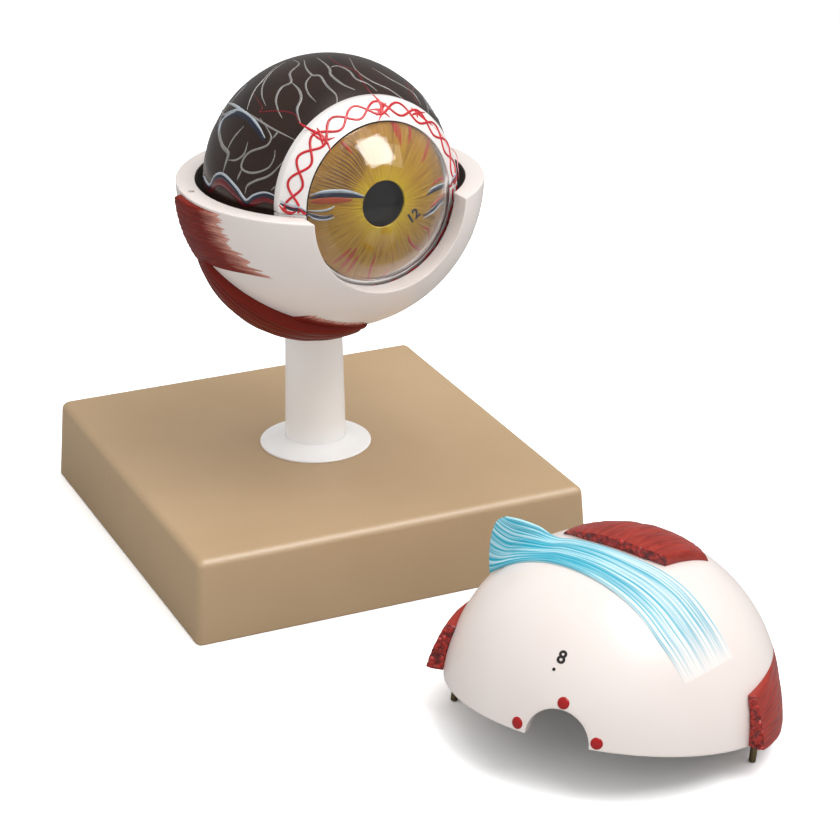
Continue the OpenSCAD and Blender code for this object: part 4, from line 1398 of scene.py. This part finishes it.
# Painted vessels and patches on the iris, by points of the picture
IRIS_WHITES = [
    ([(311, 195), (322.8, 192.2), (335, 191), (350, 192), (364, 196)], 1.4),
    ([(309, 210.5), (321, 210.8), (329.8, 209), (335, 206)], 0.9),
    ([(307, 213), (315.5, 218.4), (325.7, 219.4), (334.7, 217)], 0.9),
    ([(455, 184), (443, 183.6), (434.2, 187), (427, 191.5)], 0.8),
    ([(452, 200), (440.4, 204.5), (433, 212), (423, 218)], 0.8),
]
IRIS_NAVIES = [
    ([(310, 198.2), (324, 195.4), (337, 194.6), (350, 195.4), (364, 197.6)], 2.2),
    ([(304, 211), (316.1, 216), (325, 217.5), (333.5, 214.8)], 1.7),
    ([(455, 186.5), (442.9, 186.4), (434.2, 190), (425.5, 195.5)], 1.6),
    ([(452, 197.5), (440.4, 201.6), (433, 209), (423, 215.5)], 1.6),
]
IRIS_REDS = [
    ([(457, 181.5), (445.4, 178.4), (438, 180), (430.5, 185.5)], 1.3),
    ([(449.2, 192.5), (438, 199.7), (429, 208.2)], 1.2),
    ([(420.5, 226.9), (428, 229), (430, 237), (429.3, 245.5)], 1.0),
    ([(406.9, 234.3), (410.6, 243), (417, 248.5), (424.3, 252.5)], 1.1),
    ([(375.8, 254.2), (370.8, 266.7), (368.3, 277), (370, 283)], 1.2),
    ([(388, 268), (383.2, 275), (378.3, 282)], 1.3),
    ([(340, 141), (346, 147), (353, 155)], 1.2),
    ([(388, 118), (393, 127), (396, 138)], 1.4),
    ([(407, 124), (409, 134), (408, 144)], 1.3),
]
IRIS_ORANGES = [
    ([(311, 202), (321, 201), (335, 200.2), (352, 199.8)], 2.8),
    ([(425, 127), (427, 141), (424, 156), (421, 163)], 1.6),
    ([(393, 121), (398, 132), (400, 146)], 2.0),
    ([(340, 268), (349, 258), (357, 247)], 2.0),
    ([(346, 273), (353, 263), (359, 254)], 1.6),
    ([(333, 262), (343, 255), (352, 247)], 1.6),
]
IRIS_STREAKS = [
    ([(316 + 2.35 * k, 184 - 3.5 * k), (333 + 2 * k, 188 - 2.9 * k), (353 + 1.1 * k, 193 - 1.9 * k)],
     0.6 + 0.2 * (k % 3)) for k in range(14)
]


def iris_height(r):
    """The place along the gaze of the iris's front, which rises towards the pupil."""
    share = min(max((IRIS_FLAT_R - r) / (IRIS_FLAT_R - PUPIL_R), 0), 1)
    return IRIS_PLANE + IRIS_RISE * (1 - (1 - share) ** IRIS_BULGE)


def on_iris(spot):
    """The foot and the outward direction of a point, on the front of the iris."""
    r = min(max(math.hypot(spot.x, spot.z), PUPIL_R + 0.3), IRIS_FLAT_R + 0.9)
    turn = math.atan2(spot.z, spot.x)
    slope = (iris_height(r + 0.2) - iris_height(r - 0.2)) / 0.4
    out = Vector((-slope * math.cos(turn), 1, -slope * math.sin(turn))).normalized()
    return Vector((r * math.cos(turn), iris_height(r), r * math.sin(turn))), out


def spot_on_iris(pixel):
    """Where the line of sight through a point of the picture meets the iris."""
    eye, sight = sight_line(pixel, in_ball)
    height = IRIS_PLANE
    for _ in range(8):
        spot = eye + sight * ((height - eye.y) / sight.y)
        height = iris_height(math.hypot(spot.x, spot.z))
    return spot


def iris_gold():
    """Gold fibres that run out from the pupil, by the flat UV map of the iris, with painted shade at its
    outer edge.
    """
    material, tree, surface = new_material("iris_gold")
    flat = add_node(tree, "ShaderNodeTexCoord").outputs["UV"]
    reach = add_node(tree, "ShaderNodeVectorMath", {"operation": "LENGTH"}, i0=flat).outputs["Value"]
    heading = add_node(tree, "ShaderNodeVectorMath", {"operation": "NORMALIZE"}, i0=flat).outputs[0]
    x, y, _ = add_node(tree, "ShaderNodeSeparateXYZ", Vector=heading).outputs

    def fibres(strands, stretch, detail):
        return streaks(tree, detail, 0.6, maths(tree, "MULTIPLY", x, strands),
                       maths(tree, "MULTIPLY", y, strands), maths(tree, "MULTIPLY", reach, stretch))

    coarse = fibres(17.0, 2.6, 3.0)
    shade = spread(tree, coarse, 0.5, 0.72, 0.0, 0.75)
    shade = maths(tree, "MULTIPLY", shade, spread(tree, reach, 0.34, 0.6))
    patch = spread(tree, fibres(3.5, 1.6, 2.0), 0.52, 0.75, 0.0, 0.5)
    light = spread(tree, fibres(48.0, 3.0, 2.0), 0.55, 0.78, 0.0, 0.55)
    # Painted shade: a dark band at the outer edge, where the ring meets the iris.
    rim = spread(tree, reach, 0.955, 0.985)
    ramp = add_node(tree, "ShaderNodeValToRGB", Fac=reach)
    stops = ramp.color_ramp.elements
    stops[0].position, stops[0].color = 0.3, GOLD_BRIGHT
    stops[1].position, stops[1].color = 1.0, GOLD_EDGE
    stops.new(0.52).color = GOLD_MID
    tone = ramp.outputs["Color"]
    for share, colour in [(shade, GOLD_DARK), (patch, GOLD_BROWN), (light, GOLD_LIGHT), (rim, GOLD_RIM_SHADE)]:
        tone = blend(tree, share, tone, colour)
    fill(surface, Base_Color=tone, Normal=bumped(tree, coarse, 0.0004, 0.6), Roughness=0.4,
         Specular_IOR_Level=0.2)
    return material


def make_iris():
    rings, steps = 34, 360
    front = [PUPIL_R + (IRIS_R - PUPIL_R) * (k / rings) for k in range(rings + 1)]
    inner, outer = iris_height(PUPIL_R) - IRIS_T + PUPIL_EDGE, iris_height(PUPIL_R) - PUPIL_EDGE
    profile = [(PUPIL_R, inner), (PUPIL_R, outer), (PUPIL_R + PUPIL_EDGE, iris_height(PUPIL_R))]
    profile += [(r, iris_height(r)) for r in front[1:]]
    profile += [(r, iris_height(r) - IRIS_T) for r in reversed(front[1:])]
    profile.append((PUPIL_R + PUPIL_EDGE, iris_height(PUPIL_R) - IRIS_T))
    points = []
    for k in range(steps):
        turn = 2 * math.pi * k / steps
        x, z = math.cos(turn), math.sin(turn)
        for i, (r, y) in enumerate(profile):
            fold = noise.noise(Vector((x * 17, z * 17, r * 0.07)))
            if 2 < i < rings + 1 and r < IRIS_FLAT_R - 1:
                y -= 0.16 * max(fold, -0.4) + 0.06
            points.append((r * x, y, r * z))
    rows = numbered(steps, len(profile))
    faces = quads(rows + rows[:1], closed=True)
    disc = make_piece("iris_disc", in_ball, points, faces, iris_gold(), crease=40)
    lay_uvs(disc, "flat", [(x / IRIS_R, z / IRIS_R) for x, y, z in points])
    hold(outward(disc), "iris", "iris", "iris")
    orange = enamel("iris_orange", paint(176, 74, 26), paint(150, 52, 20), 0.4, 0.1)
    umber = enamel("iris_umber", paint(104, 66, 24), paint(128, 86, 34), 0.4, 0.1)
    brick = enamel("iris_brick", paint(186, 46, 30), paint(146, 36, 24), 0.4, 0.1)
    for name, strokes, finish, rise in [("iris_oranges", IRIS_ORANGES, orange, 0.12),
                                        ("iris_streaks", IRIS_STREAKS, umber, 0.12),
                                        ("iris_reds", IRIS_REDS, brick, 0.25),
                                        ("iris_navies", IRIS_NAVIES, artery_navy, 0.3),
                                        ("iris_whites", IRIS_WHITES, artery_white, 0.36)]:
        laid = [([spot_on_iris(pixel) for pixel in line], width) for line, width in strokes]
        strokes_piece(name, laid, on_iris, finish, "iris", rise, slot="iris")
    middle = spot_on_iris(IRIS_NUMBER_PX)
    printed_number("iris_number", "12", in_ball, "iris", middle, spot_on_iris(IRIS_BASELINE_PX) - middle,
                   IRIS_NUMBER_H, on_iris)


make_iris()


# ---------------------------------------------------------------- clear parts
# The cornea is a clear dome that caps the ring's opening. The lens is a clear button, a
# little smoky, and behind it the vitreous body is a heavy clear casting that fills the ball.
CORNEA_PLANE = 47.04
CORNEA_CURVE = 44
CORNEA_WALL = 2
CORNEA_MID = 24.67
LENS_R = 27.2
LENS_SEAT = 39.04
LENS_EDGE = 1.9
LENS_FRONT = 8.5
LENS_BACK = 8
VITREOUS_R = 51.6
VITREOUS_PLANE = 30.64

about_gaze = in_ball @ Matrix.Rotation(-math.pi / 2, 4, "X")


def clear_plastic(name, colour, ior):
    """Clear cast plastic with a faint waviness. Light for the parts behind it passes through."""
    material, tree, surface = new_material(name)
    fill(surface, Base_Color=colour, Roughness=0.02, IOR=ior, Transmission_Weight=1,
         Normal=bumped(tree, speckle(tree, 60.0), 0.00003, 0.3))
    shadow = add_node(tree, "ShaderNodeLightPath").outputs["Is Shadow Ray"]
    passing = add_node(tree, "ShaderNodeBsdfTransparent", Color=colour).outputs[0]
    mixed = add_node(tree, "ShaderNodeMixShader", i0=shadow, i1=surface.outputs[0], i2=passing)
    fill(tree.nodes["Material Output"], Surface=mixed.outputs[0])
    return material


def clear_piece(name, body, node, profile, material, steps=192, crease=32):
    """A clear casting turned about the gaze."""
    made = make_piece(name, about_gaze, *turned(profile, steps, False), material, crease)
    hold(outward(weld(made)), body, body, node)


def make_clear_parts():
    inner_curve = CORNEA_CURVE - CORNEA_WALL
    inner_r = math.sqrt(inner_curve ** 2 - (CORNEA_PLANE - CORNEA_MID) ** 2)
    profile = arc(CORNEA_CURVE, 0, math.asin(IRIS_R / CORNEA_CURVE), 48, (0, CORNEA_MID))
    profile.append((IRIS_R, CORNEA_PLANE))
    profile += arc(inner_curve, math.asin(inner_r / inner_curve), 0, 48, (0, CORNEA_MID))
    clear_piece("cornea_dome", "cornea", "cornea", profile,
                clear_plastic("cornea_clear", paint(250, 251, 252), 1.45), steps=256, crease=40)
    front = (LENS_R ** 2 + LENS_FRONT ** 2) / (2 * LENS_FRONT)
    back = (LENS_R ** 2 + LENS_BACK ** 2) / (2 * LENS_BACK)
    profile = arc(front, 0, math.asin(LENS_R / front), 40, (0, LENS_SEAT + LENS_EDGE + LENS_FRONT - front))
    profile += arc(back, math.pi - math.asin(LENS_R / back), math.pi, 40, (0, LENS_SEAT - LENS_BACK + back))
    clear_piece("lens_button", "lens", "lens", profile,
                clear_plastic("lens_clear", paint(196, 202, 208), 1.42))
    rim = math.sqrt(VITREOUS_R ** 2 - VITREOUS_PLANE ** 2)
    profile = [(0, VITREOUS_PLANE), (rim - 0.5, VITREOUS_PLANE)]
    profile += arc(VITREOUS_R, math.asin(rim / VITREOUS_R), math.pi, 72)
    clear_piece("vitreous_casting", "vitreous", "vitreous_body", profile,
                clear_plastic("vitreous_clear", paint(240, 246, 248), 1.34))


make_clear_parts()


# ---------------------------------------------------------------- inside of the ball
# The retina lines each half of the ball in painted orange, with vessels that branch from
# the optic disc. The ciliary body is a dark ring with radial folds that seats the lens.
RETINA_R = 53.7
RETINA_IN = 52
RETINA_PLANE = 33.54
RETINA_ORANGE = paint(214, 120, 66)
DISC_AT = Vector((2.5, -51, 1.4))
CILIARY_R = 37.0
CILIARY_IN = 24.7
CILIARY_SEAT = 27.6
CILIARY_REAR = 34.04
CILIARY_FRONT = 45.04
CILIARY_LIP = 38.74
CILIARY_FOLDS = 72
FOLD_H = 1.0
CILIARY_BROWN = paint(74, 40, 26)
NERVE_YELLOW = paint(222, 196, 128)
RUBBER_GREY = paint(70, 70, 74)


def fold_group():
    """Rounded folds set out evenly round the gaze, each lying along its radius."""
    group, given, out = new_group("radial_folds", [
        ("Geometry", "Geometry", None), ("Count", "Int", 72), ("Inner", "Float", 28.0),
        ("Outer", "Float", 36.0), ("Height", "Float", 1.0), ("Place", "Float", 45.0),
        ("Paint", "Material", None),
    ], [("Geometry", "Geometry")], "GeometryNodeTree")
    middle = maths(group, "MULTIPLY", maths(group, "ADD", given["Inner"], given["Outer"]), 0.5)
    length = maths(group, "SUBTRACT", given["Outer"], given["Inner"])
    circle = add_node(group, "GeometryNodeMeshCircle", Vertices=given["Count"], Radius=middle).outputs[0]
    fold = add_node(group, "GeometryNodeMeshUVSphere", Segments=14, Rings=10, Radius=1.0).outputs[0]
    size = add_node(group, "ShaderNodeCombineXYZ", X=maths(group, "MULTIPLY", length, 0.5), Y=0.95,
                    Z=given["Height"]).outputs[0]
    shaped = add_node(group, "GeometryNodeTransform", Geometry=fold, Scale=size).outputs[0]
    place = add_node(group, "GeometryNodeInputPosition").outputs[0]
    turn = add_node(group, "FunctionNodeAlignRotationToVector", {"axis": "X"}, Vector=place).outputs[0]
    many = add_node(group, "GeometryNodeInstanceOnPoints", Points=circle, Instance=shaped, Rotation=turn)
    lift = add_node(group, "ShaderNodeCombineXYZ", Z=given["Place"]).outputs[0]
    moved = add_node(group, "GeometryNodeTransform", Geometry=many.outputs[0], Translation=lift)
    return painted(group, moved.outputs[0], given, out)


def retina_vessels(seed, up):
    """Vessels that run forwards over the inside of the ball from the optic disc, and fork."""
    chance = random.Random(seed)
    lines = []

    def fits(spot):
        return spot.z * up > DISC_AT.z and spot.y < RETINA_PLANE - 3

    for k in range(5):
        heading = Vector((-1.1 + 0.55 * k + 0.1 * chance.random(), 0, 0.75 * up)).normalized()
        spot = Vector((DISC_AT.x, DISC_AT.y, DISC_AT.z * up))
        line, curl = [spot], 0
        for step in range(13):
            curl += 0.22 * (chance.random() - 0.5)
            out = spot.normalized()
            heading = (heading - out * heading.dot(out)).normalized()
            heading = (heading + out.cross(heading) * curl).normalized()
            spot = (spot + heading * 6).normalized() * RETINA_IN
            if not fits(spot):
                break
            line.append(spot)
            if step in (3, 6):
                turn = heading + out.cross(heading) * chance.choice((-0.8, 0.8))
                fork, twig = [spot], spot
                for _ in range(4):
                    out = twig.normalized()
                    turn = (turn - out * turn.dot(out)).normalized()
                    twig = (twig + turn * TWIG_STEP).normalized() * RETINA_IN
                    if fits(twig):
                        fork.append(twig)
                if len(fork) > 2:
                    lines.append((fork, 0.6))
        if len(line) > 3:
            lines.append((line, 1.0))
    return lines


def make_inside():
    orange = moulded_plastic("retina_orange", RETINA_ORANGE, paint(196, 96, 52), roughness=0.4, gloss=0.3,
                             drift=30.0, grain=500.0)
    outer, inner = (sphere_profile(radius, math.sqrt(radius ** 2 - RETINA_PLANE ** 2), 0, 56)
                    for radius in (RETINA_R, RETINA_IN))
    ball_halves("retina", "retina", outer, inner, orange, 0.2)

    def inside(spot):
        return spot.normalized() * RETINA_IN, -spot.normalized()

    for half, body, seed, up in [("upper", "choroid_top", 31, 1), ("lower", "eyeball", 34, -1)]:
        strokes_piece(half + "_retina_vessels", retina_vessels(seed, up), inside, vessel_red, body, 0.15)
    brown = moulded_plastic("ciliary_brown", CILIARY_BROWN, paint(52, 26, 18), roughness=0.45, gloss=0.2,
                            drift=60.0, grain=700.0, depth=0.0001)
    flat = CILIARY_FRONT - FOLD_H
    profile = [(CILIARY_IN, CILIARY_REAR), (CILIARY_R, CILIARY_REAR), (CILIARY_R, CILIARY_FRONT),
               (CILIARY_R - 1.2, CILIARY_FRONT), (CILIARY_R - 1.6, flat), (CILIARY_SEAT + 0.8, flat),
               (CILIARY_SEAT, flat - 0.8), (CILIARY_SEAT, CILIARY_LIP), (CILIARY_IN, CILIARY_LIP - 1.6)]
    seat = make_piece("ciliary_seat", about_gaze, *turned(profile, 192), brown)
    hold(outward(seat), "eyeball", "ciliary_body", "ciliary_body")
    folds = grown("ciliary_folds", fold_group(), about_gaze, Count=CILIARY_FOLDS, Inner=CILIARY_SEAT + 0.4,
                  Outer=CILIARY_R - 1.1, Height=FOLD_H, Place=flat, Paint=brown)
    hold(folds, "eyeball", "ciliary_body")
    nerve = moulded_plastic("nerve_yellow", NERVE_YELLOW, paint(204, 172, 104), roughness=0.4, gloss=0.3,
                            grain=260.0, depth=0.0002, drift=60.0)
    repaint(nerve, "nerve", "optic_nerve")
    repaint(vessel_red, "vessel", "nerve_vessels")
    repaint(moulded_plastic("rubber_grey", RUBBER_GREY, paint(56, 56, 60), roughness=0.7), "pad", "seat_pads")
    repaint(plated_steel("dowel_steel", STEEL, 0.3), "dowel", "ball_dowels")


make_inside()
